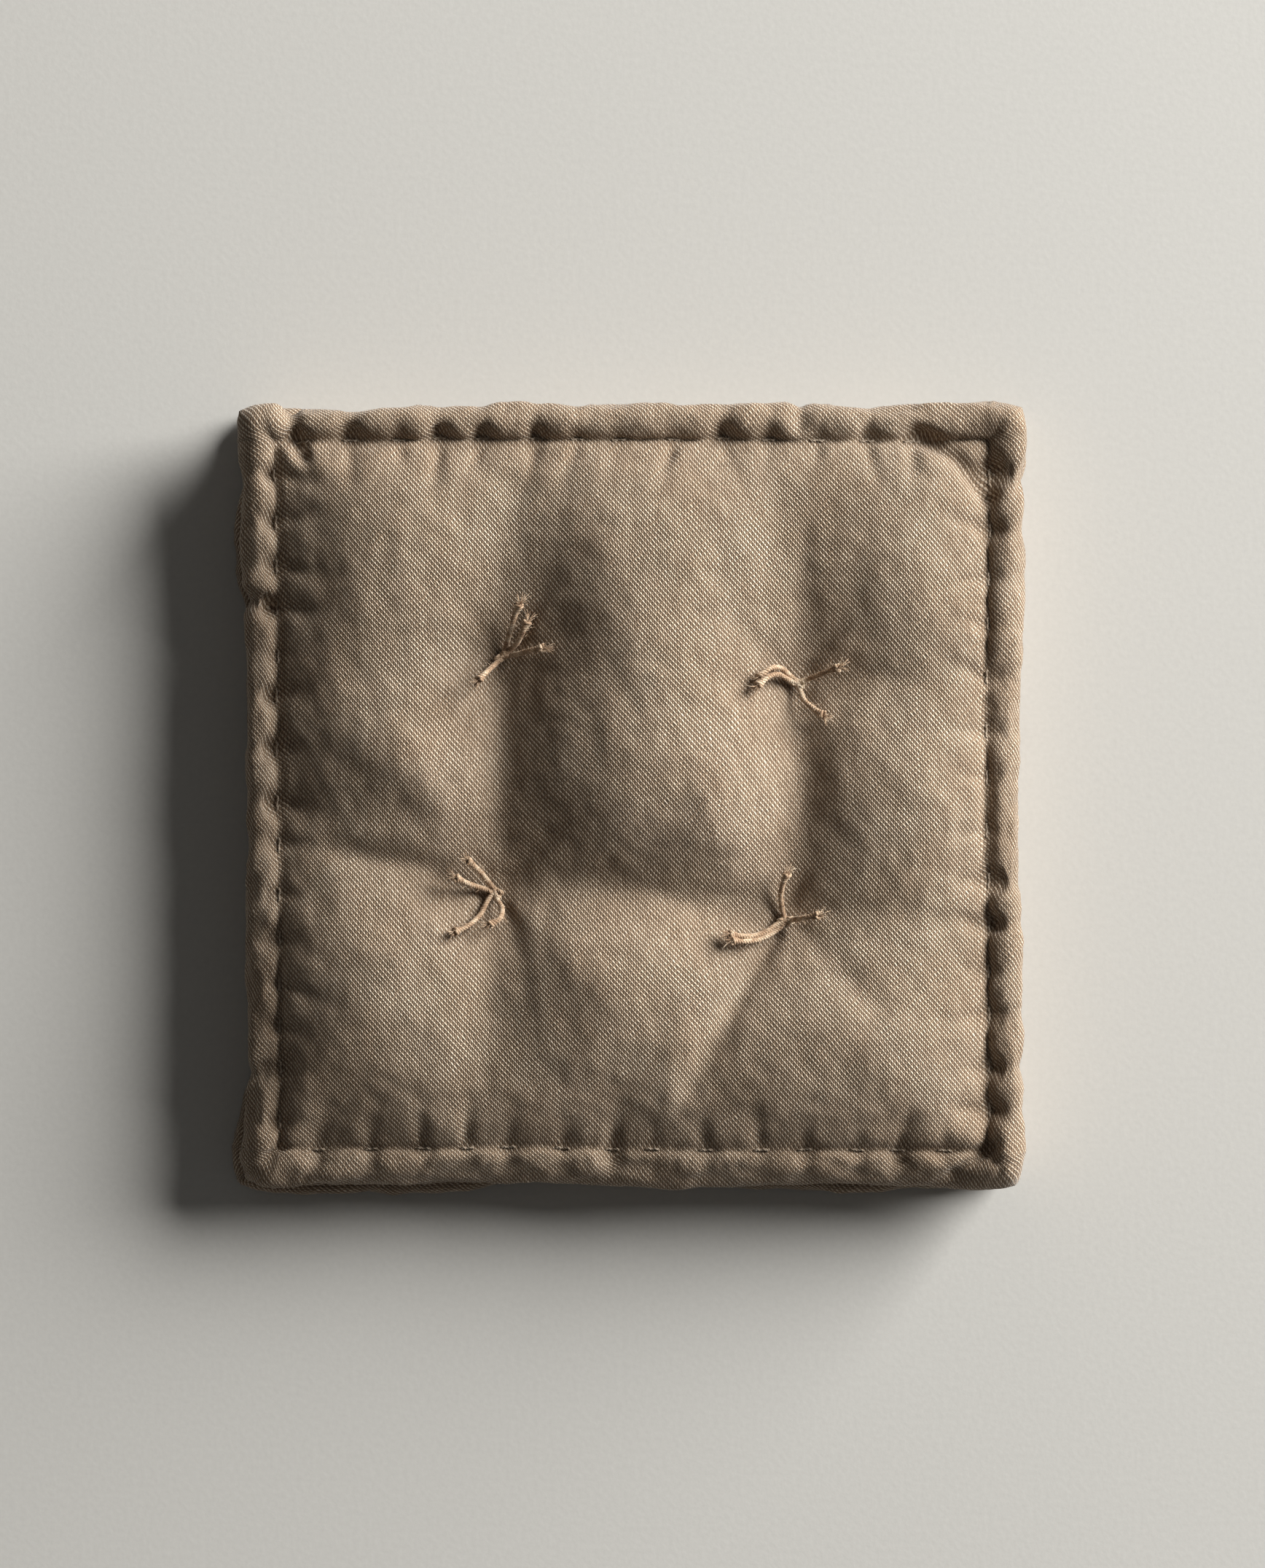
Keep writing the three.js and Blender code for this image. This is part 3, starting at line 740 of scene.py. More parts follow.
def valley_lines():
    """The lines along which the top sinks between its pads, each with how strongly it does."""
    bl, br, fl, fr = ((x / MM, y / MM) for x, y in TUFTS.values())
    edge = GROOVE / MM
    lines = [
        (0.7, [bl, (-72, 140), (-70, edge)]),
        (1.0, [bl, (-74, 20), fl]),
        (0.9, [br, (99, 130), (100, edge)]),
        (1.0, [br, (150, 68), (edge, 64)]),
        (1.0, [br, (102, 34), (100, -20), fr]),
        (1.1, [fl, (-105, -42), (-172, -33), (-edge, -32)]),
        (0.75, [fl, (-22, -46), (30, -60), fr]),
        (0.8, [fr, (150, -69), (edge, -70)]),
        (0.75, [fl, (-82, -120), (-84, -edge)]),
        (1.0, [fr, (62, -112), (37, -160)]),
        (0.4, [bl, (-140, 70), (-edge, 74)]),
    ]
    return [(force, in_metres(line)) for force, line in lines]


def sunk(distance, spread):
    """From 1 in a crease to 0 at its spread, ever flatter, so that the pads between creases are domes."""
    rounded = np.sqrt(distance ** 2 + CREASE_WIDTH ** 2) - CREASE_WIDTH
    return np.clip(1 - rounded / spread, 0, 1) ** 2


def pad_height(x, y):
    """The top before it is filled: one wide dome, sunk along its valleys and down to its tufts."""
    def swell(s):
        inward = 1 - np.clip((GROOVE - np.abs(s)) / DOME_SHOULDER, 0, 1)
        return 1 - inward ** DOME_FULLNESS

    share = swell(x) * swell(y)
    from_groove = np.maximum(0, GROOVE - np.maximum(np.abs(x), np.abs(y)))
    rim = RIM_HEIGHT * (1 - np.exp(-from_groove / RIM_WIDTH))
    dome = GROOVE_Z + rim + (DOME_HEIGHT - RIM_HEIGHT - GROOVE_Z) * share
    valley = np.max([force * sunk(distance_to_line(x, y, line), VALLEY_SPREAD)
                     for force, line in valley_lines()], axis=0)
    pit = sunk(np.maximum(0, tuft_distance(x, y) - TUFT_SEAT), PIT_SPREAD)
    return (dome - VALLEY_DEPTH * valley * share) * (1 - pit) + TUFT_Z * pit


def underside_height(x, y):
    from_tuft = np.maximum(0, tuft_distance(x, y) - TUFT_SEAT)
    return UNDERSIDE_TUFT_Z * np.exp(-(from_tuft / UNDERSIDE_PIT_SPREAD) ** 2)


def panel_shape(lines, pad_z):
    """Points of a panel before it is filled. At its edge the outer of two crossing lines sets the height."""
    edge = lines.edge_z[np.clip(lines.outer - PAD_CELLS, 0, ROLL_CELLS)]
    z = np.where(lines.outer >= PAD_CELLS, edge, pad_z(lines.x, lines.y))
    return np.stack([*pulled_to_ears(lines.x, lines.y), z], axis=-1)


def ring_of(panel):
    """The border of a panel as a closed ring, once around, starting at the front right corner."""
    last = panel.shape[0] - 1
    return np.concatenate([
        panel[last, :last],
        panel[last:0:-1, last],
        panel[0, last:0:-1],
        panel[:last, 0],
    ])


def boxing_profile():
    """Distance from the middle, height, and distance along the cloth of each row of the boxing."""
    tuck = np.linspace(ROLL_END, TUCK_END, TUCK_CELLS + 1)
    upper_reach = ROLL_CENTRE + ROLL_RADIUS * np.sin(tuck)
    upper_z = TOP_ROLL_Z + ROLL_RADIUS * np.cos(tuck)
    share = np.linspace(0, 1, WALL_CELLS + 1)[1:-1]
    wall_z = upper_z[-1] + share * (EDGE_HEIGHT - 2 * upper_z[-1])
    wall_reach = upper_reach[-1] + WALL_BULGE * np.sin(share * math.pi)
    reach = np.concatenate([upper_reach, wall_reach, upper_reach[::-1]])
    z = np.concatenate([upper_z, wall_z, EDGE_HEIGHT - upper_z[::-1]])
    steps = np.hypot(np.diff(reach), np.diff(z))
    return reach, z, np.concatenate([[0], np.cumsum(steps)])


def boxing_shape():
    """Rows of points of the boxing, from the upper seam to the lower one, each a ring around the cushion."""
    reach, z, _ = boxing_profile()
    ring = ring_of(np.stack([TOP.x, TOP.y], axis=-1))
    rows = []
    for row_reach, row_z in zip(reach, z):
        scale = (row_reach - CORNER_START) / (HALF - CORNER_START)
        squeezed = np.sign(ring) * (CORNER_START + (np.abs(ring) - CORNER_START) * scale)
        plain = np.where(np.abs(ring) > CORNER_START, squeezed, ring)
        x, y = pulled_to_ears(plain[:, 0], plain[:, 1])
        rows.append(np.stack([x, y, np.full(len(x), row_z)], axis=-1))
    return np.array(rows)


def flat_cut():
    """The same points on the cloth before it was sewn up: three flat cuts, joined at their seams."""
    x, y = square(TOP.flat)
    reach, _, down = boxing_profile()
    height = down[-1]
    top = np.stack([x, y, np.full(x.shape, height)], axis=-1)
    bottom = np.stack([x, y, np.zeros(x.shape)], axis=-1)
    ring = ring_of(top)
    rows = []
    for row_reach, row_down in zip(reach, down):
        at_seam = row_down in (down[0], down[-1])
        scale = (row_reach + (SEAM_FLAT - HALF if at_seam else 0)) / SEAM_FLAT
        plan = ring[:, :2] * scale
        rows.append(np.column_stack([plan, np.full(len(ring), height - row_down)]))
    return top * CUT_EASE, np.array(rows) * CUT_EASE, bottom * CUT_EASE


# ---- One closed mesh for the simulation ----

class Cover:
    """Indices of the closed cover: two panels and the rows of the boxing between their rings."""

    def __init__(self):
        n = TOP.count
        rows = len(boxing_profile()[0])
        self.top = numbered(n, n)
        self.bottom = self.top + n * n
        around = 4 * (n - 1)
        inner = 2 * n * n + numbered(rows - 2, around)
        self.boxing = np.concatenate([[ring_of(self.top)], inner, [ring_of(self.bottom)]])
        self.closed = np.concatenate([self.boxing, self.boxing[:, :1]], axis=1)
        self.size = 2 * n * n + inner.size

    def side(self, side):
        """The points of the boxing along one side, row by row."""
        first = SIDE_NAMES.index(side) * (TOP.count - 1)
        return self.closed[:, first:first + TOP.count]

    def faces(self):
        return np.concatenate([quads(self.top), quads(self.bottom)[:, ::-1], quads(self.closed)])

    def gathered(self, top, boxing, bottom):
        """One array of values for all points, from the values of the three parts."""
        values = np.zeros((self.size, top.shape[-1]))
        values[self.boxing] = boxing
        values[self.top] = top
        values[self.bottom] = bottom
        return values


COVER = Cover()


# ---- Stitches ----

STITCH_SPACING = (23 * MM, 32 * MM)
STITCH_END = 192 * MM  # no stitch lies nearer to a corner
STITCH_WIDTH = 6 * MM  # half length of the pinch that a stitch makes
STITCH_FORCE = 0.62
STITCH_UNEVENNESS = 0.36
GROOVE_HOLD = 0.25  # how firmly the groove is held between its stitches, 1 being fixed
SIDE_HOLD = 0.8


def stitch_places(seed):
    """Places along one edge where its thread shows, unevenly spaced as by hand."""
    random = np.random.default_rng(seed)
    places = [-STITCH_END + random.uniform(0, STITCH_SPACING[0] / 2)]
    while places[-1] < STITCH_END - STITCH_SPACING[1]:
        places.append(places[-1] + random.uniform(*STITCH_SPACING))
    return np.array(places)


STITCHES = {
    edge: {side: stitch_places(seed + k) for k, side in enumerate(SIDE_NAMES)}
    for edge, seed in STITCH_SEEDS.items()
}


def pinch_at(along, places):
    """How strongly the stitches of an edge pinch it, from 0 between them to about 1 at a tight stitch."""
    force = STITCH_FORCE + STITCH_UNEVENNESS * np.sin(places / MM)
    return np.max(force * np.exp(-((along[..., None] - places) / STITCH_WIDTH) ** 2), axis=-1)


def panel_pinch(lines, stitches):
    """The pinch at each point of a panel, as if the stitches of its nearest side reached all across."""
    x, y = lines.x, lines.y
    side_x = np.where(x > 0, pinch_at(y, stitches["right"]), pinch_at(y, stitches["left"]))
    side_y = np.where(y > 0, pinch_at(x, stitches["back"]), pinch_at(x, stitches["front"]))
    return np.where(lines.sideways, side_x, side_y)


# Lines near the groove, counted from it outwards, and how far a stitch pulls each of them out and down.
STITCH_PULL = {
    -4: (0.0, 0.5 * MM),
    -3: (0.3 * MM, 1.0 * MM),
    -2: (0.8 * MM, 1.8 * MM),
    -1: (1.3 * MM, 2.8 * MM),
    0: (2.0 * MM, 3.6 * MM),
    1: (3.8 * MM, 4.2 * MM),
    2: (3.4 * MM, 3.6 * MM),
    3: (1.6 * MM, 2.2 * MM),
    4: (0.4 * MM, 0.9 * MM),
}


def pinched(points, lines, stitches, down):
    """The panel with its groove and the near side of its roll pulled in at each stitch."""
    pinch = panel_pinch(lines, stitches)
    moved = points.copy()
    for line, (outward, sink) in STITCH_PULL.items():
        here = (lines.outer == PAD_CELLS + line) * pinch
        moved[..., 0] += here * outward * np.sign(lines.x) * lines.sideways
        moved[..., 1] += here * outward * np.sign(lines.y) * ~lines.sideways
        moved[..., 2] -= here * sink * down
    return moved


def panel_pins(lines, stitches, floor):
    """How firmly each point of a panel is held by the stitches, the tufts and, underneath, the floor."""
    pinch = panel_pinch(lines, stitches)
    pins = np.where(lines.outer == PAD_CELLS, np.maximum(GROOVE_HOLD, pinch), 0)
    near = np.isin(lines.outer, [PAD_CELLS + line for line in (-1, 1, 2, 3)])
    pins = np.clip(np.where(near, pinch ** 2, pins), 0, 1)
    pins = np.where(tuft_distance(lines.x, lines.y) < TUFT_SEAT, 1, pins)
    return np.where(lines.outer < PAD_CELLS - 3, 1, pins) if floor else pins


def boxing_pins():
    """The boxing is held where the stitches below and above the rolls go through it."""
    pins = np.zeros(COVER.boxing.shape)
    pins[[TUCK_CELLS, -1 - TUCK_CELLS]] = SIDE_HOLD
    return pins


# ---- Filling the cover ----

FRAMES = 24
LUMPS = 0.2 * MM  # of the unevenness that the free cloth starts with
CLOTH_SETTINGS = {
    "quality": 4,
    "mass": 0.05,
    "air_damping": 1,
    "tension_stiffness": 15,
    "compression_stiffness": 15,
    "shear_stiffness": 5,
    "bending_stiffness": 4,
    "use_pressure": True,
    "uniform_pressure_force": 60,
    "vertex_group_mass": "pins",
}


def cover_object(points, faces, cut, pins):
    """The closed cover with its flat cut as a shape key and its pins as a vertex group."""
    mesh = bpy.data.meshes.new("cover")
    mesh.from_pydata(points.tolist(), [], faces.tolist())
    cover = bpy.data.objects.new("cover", mesh)
    bpy.context.scene.collection.objects.link(cover)
    cover.shape_key_add(name="sewn")
    cover.shape_key_add(name="cut").data.foreach_set("co", cut.ravel())
    group = cover.vertex_groups.new(name="pins")
    pins = np.round(pins, 2)
    for weight in np.unique(pins):
        group.add(np.nonzero(pins == weight)[0].tolist(), float(weight), "REPLACE")
    return cover


def filled(points, faces, cut, pins):
    """The points after the cloth simulation has blown the cover up between its stitches and tufts."""
    cover = cover_object(points, faces, cut, pins)
    cloth = cover.modifiers.new("cloth", "CLOTH")
    for name, value in CLOTH_SETTINGS.items():
        setattr(cloth.settings, name, value)
    cloth.settings.rest_shape_key = cover.data.shape_keys.key_blocks["cut"]
    cloth.settings.effector_weights.gravity = 0
    cloth.collision_settings.use_collision = False
    cloth.point_cache.frame_start = 1
    cloth.point_cache.frame_end = FRAMES
    for number in range(1, FRAMES + 1):
        bpy.context.scene.frame_set(number)
    evaluated = cover.evaluated_get(bpy.context.evaluated_depsgraph_get())
    moved = np.empty(len(points) * 3)
    evaluated.data.vertices.foreach_get("co", moved)
    bpy.data.objects.remove(cover)
    bpy.context.scene.frame_set(1)
    return moved.reshape(-1, 3)


# ---- From the filled cover to its panels ----

FLOOR_CLEARANCE = 1.2 * MM


def halved(grid, axis):
    """A grid with a point added between each two along one axis, on smooth curves."""
    grid = np.moveaxis(grid, axis, 0)
    before = 2 * grid[:1] - grid[1:2]
    after = 2 * grid[-1:] - grid[-2:-1]
    wide = np.concatenate([before, grid, after])
    middle = (9 * (wide[1:-2] + wide[2:-1]) - wide[:-3] - wide[3:]) / 16
    fine = np.empty((2 * len(grid) - 1, *grid.shape[1:]))
    fine[::2] = grid
    fine[1::2] = middle
    return np.moveaxis(fine, 0, axis)


def finer(grid):
    return halved(halved(grid, 0), 1)


def normals_of(grid):
    """Unit vectors out of a grid whose rows and columns turn as the cover's do."""
    return unit(np.cross(np.gradient(grid, axis=0), np.gradient(grid, axis=1)))


def lattice(shape, spacing, size, seed):
    """Smooth noise from -1 to 1 over a square of a given size, for the points of a grid in its flat cut."""
    random = np.random.default_rng(seed)
    count = int(math.ceil(size / spacing)) + 4
    table = random.uniform(-1, 1, (count, count))
    place = shape / spacing + count / 2
    cell = np.floor(place).astype(int)
    share = place - cell
    share = share * share * (3 - 2 * share)
    i, j = cell[..., 0], cell[..., 1]
    s, t = share[..., 0], share[..., 1]
    low = table[i, j] * (1 - s) + table[i + 1, j] * s
    high = table[i, j + 1] * (1 - s) + table[i + 1, j + 1] * s
    return low * (1 - t) + high * t


def add_panel(name, node, grid, cut):
    """A panel of cloth with its thickness and its grain."""
    panel = add_piece(name, grid.reshape(-1, 3), quads(numbered(*grid.shape[:2])), "cover_cloth", node)
    grain = panel.data.attributes.new("grain", "FLOAT_VECTOR", "POINT")
    grain.data.foreach_set("vector", np.asarray(cut, np.float32).ravel())
    thickness = panel.modifiers.new("thickness", "SOLIDIFY")
    thickness.thickness = FABRIC
    thickness.offset = -1


def in_grain(first, second):
    """Places on the flat cloth as vectors."""
    first, second = np.broadcast_arrays(first, second)
    return np.stack([first, second, np.zeros(first.shape)], axis=-1)


def corner_normals(points, faces):
    """Unit vectors out of a closed mesh at its points."""
    corners = points[faces]
    across = np.cross(corners[:, 2] - corners[:, 0], corners[:, 3] - corners[:, 1])
    total = np.zeros(points.shape)
    for corner in range(4):
        np.add.at(total, faces[:, corner], across)
    return unit(total)


SOFTENING = 3  # passes, each of which evens a pad out by about 3 mm
FIRM_EDGE = 16 * MM  # beside the groove, over which the softening comes in
FIRM_TUFT = 12 * MM  # and around a tuft


def softened(points):
    """The cover with its top evened out, as thick cloth lies over wadding; its groove and tufts stay."""
    top = points[COVER.top]
    from_groove = GROOVE - np.maximum(np.abs(TOP.x), np.abs(TOP.y))
    from_tuft = tuft_distance(TOP.x, TOP.y) - TUFT_SEAT
    share = np.clip(from_groove / FIRM_EDGE, 0, 1) * np.clip(from_tuft / FIRM_TUFT, 0, 1)
    for _ in range(SOFTENING):
        around = top.copy()
        around[1:-1, 1:-1] = (top[:-2, 1:-1] + top[2:, 1:-1] + top[1:-1, :-2] + top[1:-1, 2:]) / 4
        top = top + (around - top) * share[..., None]
    evened = points.copy()
    evened[COVER.top] = top
    return evened


# Lumps of the stuffing: how far apart they are and how far they stand out.
LUMP_SIZES = [(90 * MM, 1.2 * MM), (32 * MM, 1.0 * MM), (14 * MM, 0.5 * MM)]
ROLL_LUMPS = 1.9  # times as strong on the rolled edges
ROLL_WAIST = 1.3 * MM  # how much a stitch narrows the roll all round
CORNER_FULLNESS = 3.4 * MM  # how much thicker the roll is in a corner
REST_HEIGHT = 4 * MM  # above the floor, below which nothing stands out, so that the underside lies flat

# Folds where the cloth was pushed in at the corners and edges: the points of each in plan, its depth and its
# spread, all in millimetres.
EDGE_FOLDS = [
    ([(-198, 230), (-196, 212), (-191, 197)], 5.5, 4.5),
    ([(-230, 114), (-211, 112)], 4.5, 4.5),
    ([(166, 208), (186, 194), (205, 173)], 5.5, 5.0),
    ([(206, 190), (216, 188)], 4.0, 6.5),
    ([(186, -219), (198, -210), (207, -203)], 5.0, 4.2),
    ([(-205, -205), (-222, -219)], 4.0, 5.0),
    ([(-214, -160), (-230, -162)], 3.0, 4.5),
    ([(96, 230), (97, 212)], 3.0, 4.5),
]

# Where the lower roll was squeezed out from under the upper one: the side, the middle and half length of the
# stretch, and how far it comes out, in millimetres.
SQUEEZED_OUT = [
    ("left", 141, 36, 8.5),
    ("front", -150, 72, 9.0),
    ("front", 95, 84, 8.0),
    ("right", 205, 26, 8.0),
    ("left", -200, 34, 7.0),
    ("back", 212, 24, 6.0),
]


def roughness_at(points):
    """Smooth noise over a closed shape: two sheared plans, so that upright walls have lumps too."""
    total = np.zeros(len(points))
    for number, (spacing, amount) in enumerate(LUMP_SIZES):
        one, other = (
            lattice(points[:, :2] + points[:, 2:] * shear, spacing, 1.6, seed + number)
            for shear, seed in zip((1.7, -2.3), LUMP_SEEDS)
        )
        total += amount * (one + other) / 1.4
    return total


def side_share(points, side):
    """How far out each point lies on one side, and its place along that side."""
    axis, sign = FACING[side]
    return sign * points[:, axis], points[:, 1 - axis]


def squeezed_out(points):
    """The lower roll, and the boxing above it, moved out in a few stretches."""
    moved = points.copy()
    for side, middle, half_length, amount in SQUEEZED_OUT:
        out, along = side_share(points, side)
        near = np.exp(-((along - middle * MM) / (half_length * MM)) ** 4)
        low = np.clip(1 - points[:, 2] / (0.75 * EDGE_HEIGHT), 0, 1)
        edge = np.clip((out - 0.8 * GROOVE) / (HALF - 0.8 * GROOVE), 0, 1)
        axis, sign = FACING[side]
        moved[:, axis] += sign * amount * MM * near * edge * low * (2 - low)
    return moved


# How far the top has sunk towards a side, and how steeply its roll leans outwards there.
SAG = {"left": (7 * MM, 0.25), "front": (8 * MM, 0.4)}


def sagged(points):
    """The cover with its left and front edges sunk, and their upper rolls turned outwards."""
    moved = points.copy()
    upper = np.clip(points[:, 2] / EDGE_HEIGHT - 0.25, 0, 0.5) * 2
    for side, (sag, lean) in SAG.items():
        out, _ = side_share(points, side)
        sink = sag * (np.maximum(out, 0) / HALF) ** 2
        moved[:, 2] -= upper * (sink + lean * np.maximum(out - GROOVE, 0))
    return moved


def waist_depth(points):
    """How far the stitches draw in the outer side of the rolls."""
    z = points[:, 2]
    near_roll = np.exp(-((np.minimum(z, EDGE_HEIGHT - z) - ROLL_RADIUS) / (1.2 * ROLL_RADIUS)) ** 4)
    depth = np.zeros(len(points))
    for side in SIDE_NAMES:
        out, along = side_share(points, side)
        upper, lower = (pinch_at(along, STITCHES[edge][side]) for edge in ("top", "bottom"))
        pinch = np.where(z > EDGE_HEIGHT / 2, upper, lower)
        depth += np.where(out > GROOVE + ROLL_RADIUS / 2, ROLL_WAIST * near_roll * pinch, 0)
    return depth


def fold_depth(points):
    """The folds of the upper half, at the corners and edges."""
    x, y, z = points.T
    depth = np.zeros(len(points))
    for line, amount, spread in EDGE_FOLDS:
        distance = distance_to_line(x, y, in_metres(line))
        depth += amount * MM * np.exp(-(distance / (spread * MM)) ** 2)
    return depth * np.clip((z - 0.35 * EDGE_HEIGHT) / (0.3 * EDGE_HEIGHT), 0, 1)


def handled(points, faces):
    """The filled cover with the lumps, folds and uneven rolls that hands have left in it."""
    points = sagged(squeezed_out(points))
    x, y, z = points.T
    on_roll = np.clip((np.maximum(np.abs(x), np.abs(y)) - GROOVE) / ROLL_RADIUS, 0, 1)
    depth = waist_depth(points) + fold_depth(points)
    depth -= roughness_at(points) * (1 + (ROLL_LUMPS - 1) * on_roll)
    corner = np.hypot(np.abs(x) - ROLL_CENTRE, np.abs(y) - ROLL_CENTRE)
    depth -= CORNER_FULLNESS * on_roll * np.exp(-(corner / (1.5 * ROLL_RADIUS)) ** 2)
    depth *= np.clip(z / REST_HEIGHT, 0, 1)
    return points - corner_normals(points, faces) * depth[:, None]


PLEAT_LENGTH = (18 * MM, 44 * MM)  # of the small pleats that run in from a stitch
PLEAT_DEPTH = (1.0 * MM, 3.2 * MM)
PLEAT_SPREAD = 4.2 * MM
PLEAT_MARGIN = 3 * MM  # from the groove to where a pleat begins
PLEAT_SLANT = 0.4  # at most, to either side
FAN_PLEATS = 13  # around each tuft
FAN_LENGTH = (22 * MM, 62 * MM)
FAN_DEPTH = (0.5 * MM, 1.6 * MM)
FAN_STRAY = 0.35  # of the angle between two pleats, at most, to either side
RUFFLE = 0.35 * MM  # of the fine unevenness between the pleats
RUFFLE_SIZE = 7 * MM
SMOOTH_MARGIN = 5 * MM  # beside the groove and the knots, over which pleats fade out

# Long creases in the top, beyond the fans around its tufts: plan, depth and spread, in millimetres.
LONG_CREASES = [
    ([(84, -79), (61, -112), (37, -160)], 3.6, 5.0),
    ([(-74, -64), (-62, -104), (-66, -150)], 2.4, 6.0),
    ([(-66, 88), (-50, 122), (-44, 168)], 2.2, 6.0),
    ([(100, 74), (128, 108), (140, 158)], 2.0, 6.0),
    ([(92, -60), (112, -20), (150, 8)], 2.0, 6.0),
    ([(-72, -46), (-36, -16), (10, -8)], 2.0, 6.5),
]


def crease_at(x, y, line, spread):
    """A crease, full at the first point of a line, that fades and widens to nothing at its last."""
    along = share_along(x, y, line[0], line[-1])
    width = spread * (0.7 + 1.1 * along)
    return (1 - along) * np.exp(-(distance_to_line(x, y, line) / width) ** 2)


def edge_pleats(random):
    """The pleats that run in from each stitch of the upper edge."""
    for side in SIDE_NAMES:
        axis, sign = FACING[side]
        for place in STITCHES["top"][side]:
            length = random.uniform(*PLEAT_LENGTH)
            far = place + random.uniform(-PLEAT_SLANT, PLEAT_SLANT) * length
            start = GROOVE - PLEAT_MARGIN
            line = [(sign * start, place), (sign * (start - length), far)]
            line = [end[::-1] for end in line] if axis else line
            yield line, random.uniform(*PLEAT_DEPTH), PLEAT_SPREAD


def fan_pleats(random):
    """The pleats that run out all around each tuft."""
    for x, y in TUFTS.values():
        first = random.uniform(0, 2 * math.pi)
        for number in range(FAN_PLEATS):
            turn = first + (number + random.uniform(-FAN_STRAY, FAN_STRAY)) * 2 * math.pi / FAN_PLEATS
            length = random.uniform(*FAN_LENGTH)
            ends = (TUFT_SEAT, length)
            line = [(x + reach * math.cos(turn), y + reach * math.sin(turn)) for reach in ends]
            yield line, random.uniform(*FAN_DEPTH), PLEAT_SPREAD


def pleat_lines():
    """All pleats and creases of the top, each with its depth and its spread."""
    random = np.random.default_rng(PLEAT_SEED)
    pleats = [*edge_pleats(random), *fan_pleats(random)]
    return pleats + [(in_metres(line), depth * MM, spread * MM) for line, depth, spread in LONG_CREASES]


def pleated(grid):
    """The top with its pleats and creases, which stop short of the groove and of the knots."""
    x, y = grid[..., 0], grid[..., 1]
    depth = sum(amount * crease_at(x, y, line, spread) for line, amount, spread in pleat_lines())
    depth = depth - RUFFLE * lattice(grid[..., :2], RUFFLE_SIZE, 1.2, RUFFLE_SEED)
    inside = np.clip((GROOVE - 2 * MM - np.maximum(np.abs(x), np.abs(y))) / SMOOTH_MARGIN, 0, 1)
    clear = np.clip((tuft_distance(x, y) - TUFT_SEAT) / SMOOTH_MARGIN, 0, 1)
    return grid - normals_of(grid) * (depth * inside * clear)[..., None]


def add_cover(points):
    """The six panels of the cover, each with its place on the flat cloth."""
    flat = halved(TOP.flat, 0)
    plan = in_grain(flat[:, None], flat[None, :])
    add_panel("cover_top", "top_panel", pleated(finer(points[COVER.top])), plan)
    add_panel("cover_bottom", "bottom_panel", finer(points[COVER.bottom])[:, ::-1], plan)
    down = halved(boxing_profile()[2], 0)
    for number, side in enumerate(SIDE_NAMES):
        rows = finer(points[COVER.side(side)])
        grain = in_grain(-down[:, None], flat[None, :] + 0.6 * number)
        add_panel(f"cover_side_{side}", f"side_panel_{side}", rows, grain)


# ---- Stitches of the rolled edges ----

STITCH_TWINE = 1.6 * MM
STITCH_SHOWN = 7 * MM  # of a stitch, in the upper groove
STITCH_DIVE = 6 * MM  # along the edge while the thread goes through the roll
STITCH_LAY = 4 * MM
STITCH_LIFT = 0.35 * STITCH_TWINE  # of the thread's middle above the cloth
PATH_STEP = 1 * MM


def side_of(panel, side):
    """The lines of a panel from its middle out to one side, each from one end of that side to the other."""
    middle = panel.shape[0] // 2
    lines = {
        "right": panel[middle:],
        "left": panel[middle::-1],
        "back": panel[:, middle:].swapaxes(0, 1),
        "front": panel[:, middle::-1].swapaxes(0, 1),
    }
    return lines[side]


def boxing_side(points, side):
    """The rows of one side of the boxing, running the same way as the lines of the panels."""
    rows = points[COVER.side(side)]
    return rows[:, ::-1] if side in ("back", "left") else rows


def on_line(line, along):
    return np.array([np.interp(along, TOP.reach, line[:, k]) for k in range(3)])


def running_stitch(groove, tuck, heart, lift, places):
    """The thread's way: a short stitch in the groove, through the roll, along under it and back through."""
    def over(along):
        return on_line(groove, along) + lift * STITCH_LIFT

    def under(along):
        place = on_line(tuck, along)
        return place + unit(place - on_line(heart, along)) * STITCH_LIFT

    way = []
    for place in places:
        start, end = place - STITCH_SHOWN / 2, place + STITCH_SHOWN / 2
        way += [under(start - STITCH_DIVE), on_line(heart, start - STITCH_DIVE / 3)]
        way += [over(start), over(place), over(end)]
        way += [on_line(heart, end + STITCH_DIVE / 3), under(end + STITCH_DIVE)]
    return way


def add_stitches(points):
    """The thread of each rolled edge, above and below."""
    for edge, panel, up in (("top", COVER.top, 1.0), ("bottom", COVER.bottom, -1.0)):
        for side in SIDE_NAMES:
            boxing = boxing_side(points, side)
            groove = side_of(points[panel], side)[PAD_CELLS]
            tuck = boxing[TUCK_CELLS] if edge == "top" else boxing[-1 - TUCK_CELLS]
            lift = np.array([0, 0, up])
            way = running_stitch(groove, tuck, (groove + tuck) / 2, lift, STITCHES[edge][side])
            path = smooth_path(way, PATH_STEP)
            path[:, 2] = np.maximum(path[:, 2], STITCH_TWINE / 2 + FLOOR_CLEARANCE)
            twine = twisted(path, STITCH_TWINE / 2, 2, STITCH_LAY)
            add_piece(f"thread_{edge}_{side}", *twine, "stitch_thread", f"edge_stitch_{edge}_{side}")


# ---- Fillings ----

LINING_GAP = 3.2 * MM  # from the outside of the cloth to the filling
WADDING_TOP = TOP_ROLL_Z - ROLL_RADIUS - 2 * MM
WADDING_BOTTOM = 2 * ROLL_RADIUS + 2 * MM
CORE_EDGE = ROLL_CENTRE - 2 * MM
CORE_ROUNDING = 14 * MM
CORE_CELLS = 80
CORE_GAP = 1.5 * MM
THINNEST_ROPE = 0.8 * MM  # radius of a roll's stuffing where a stitch has squeezed it


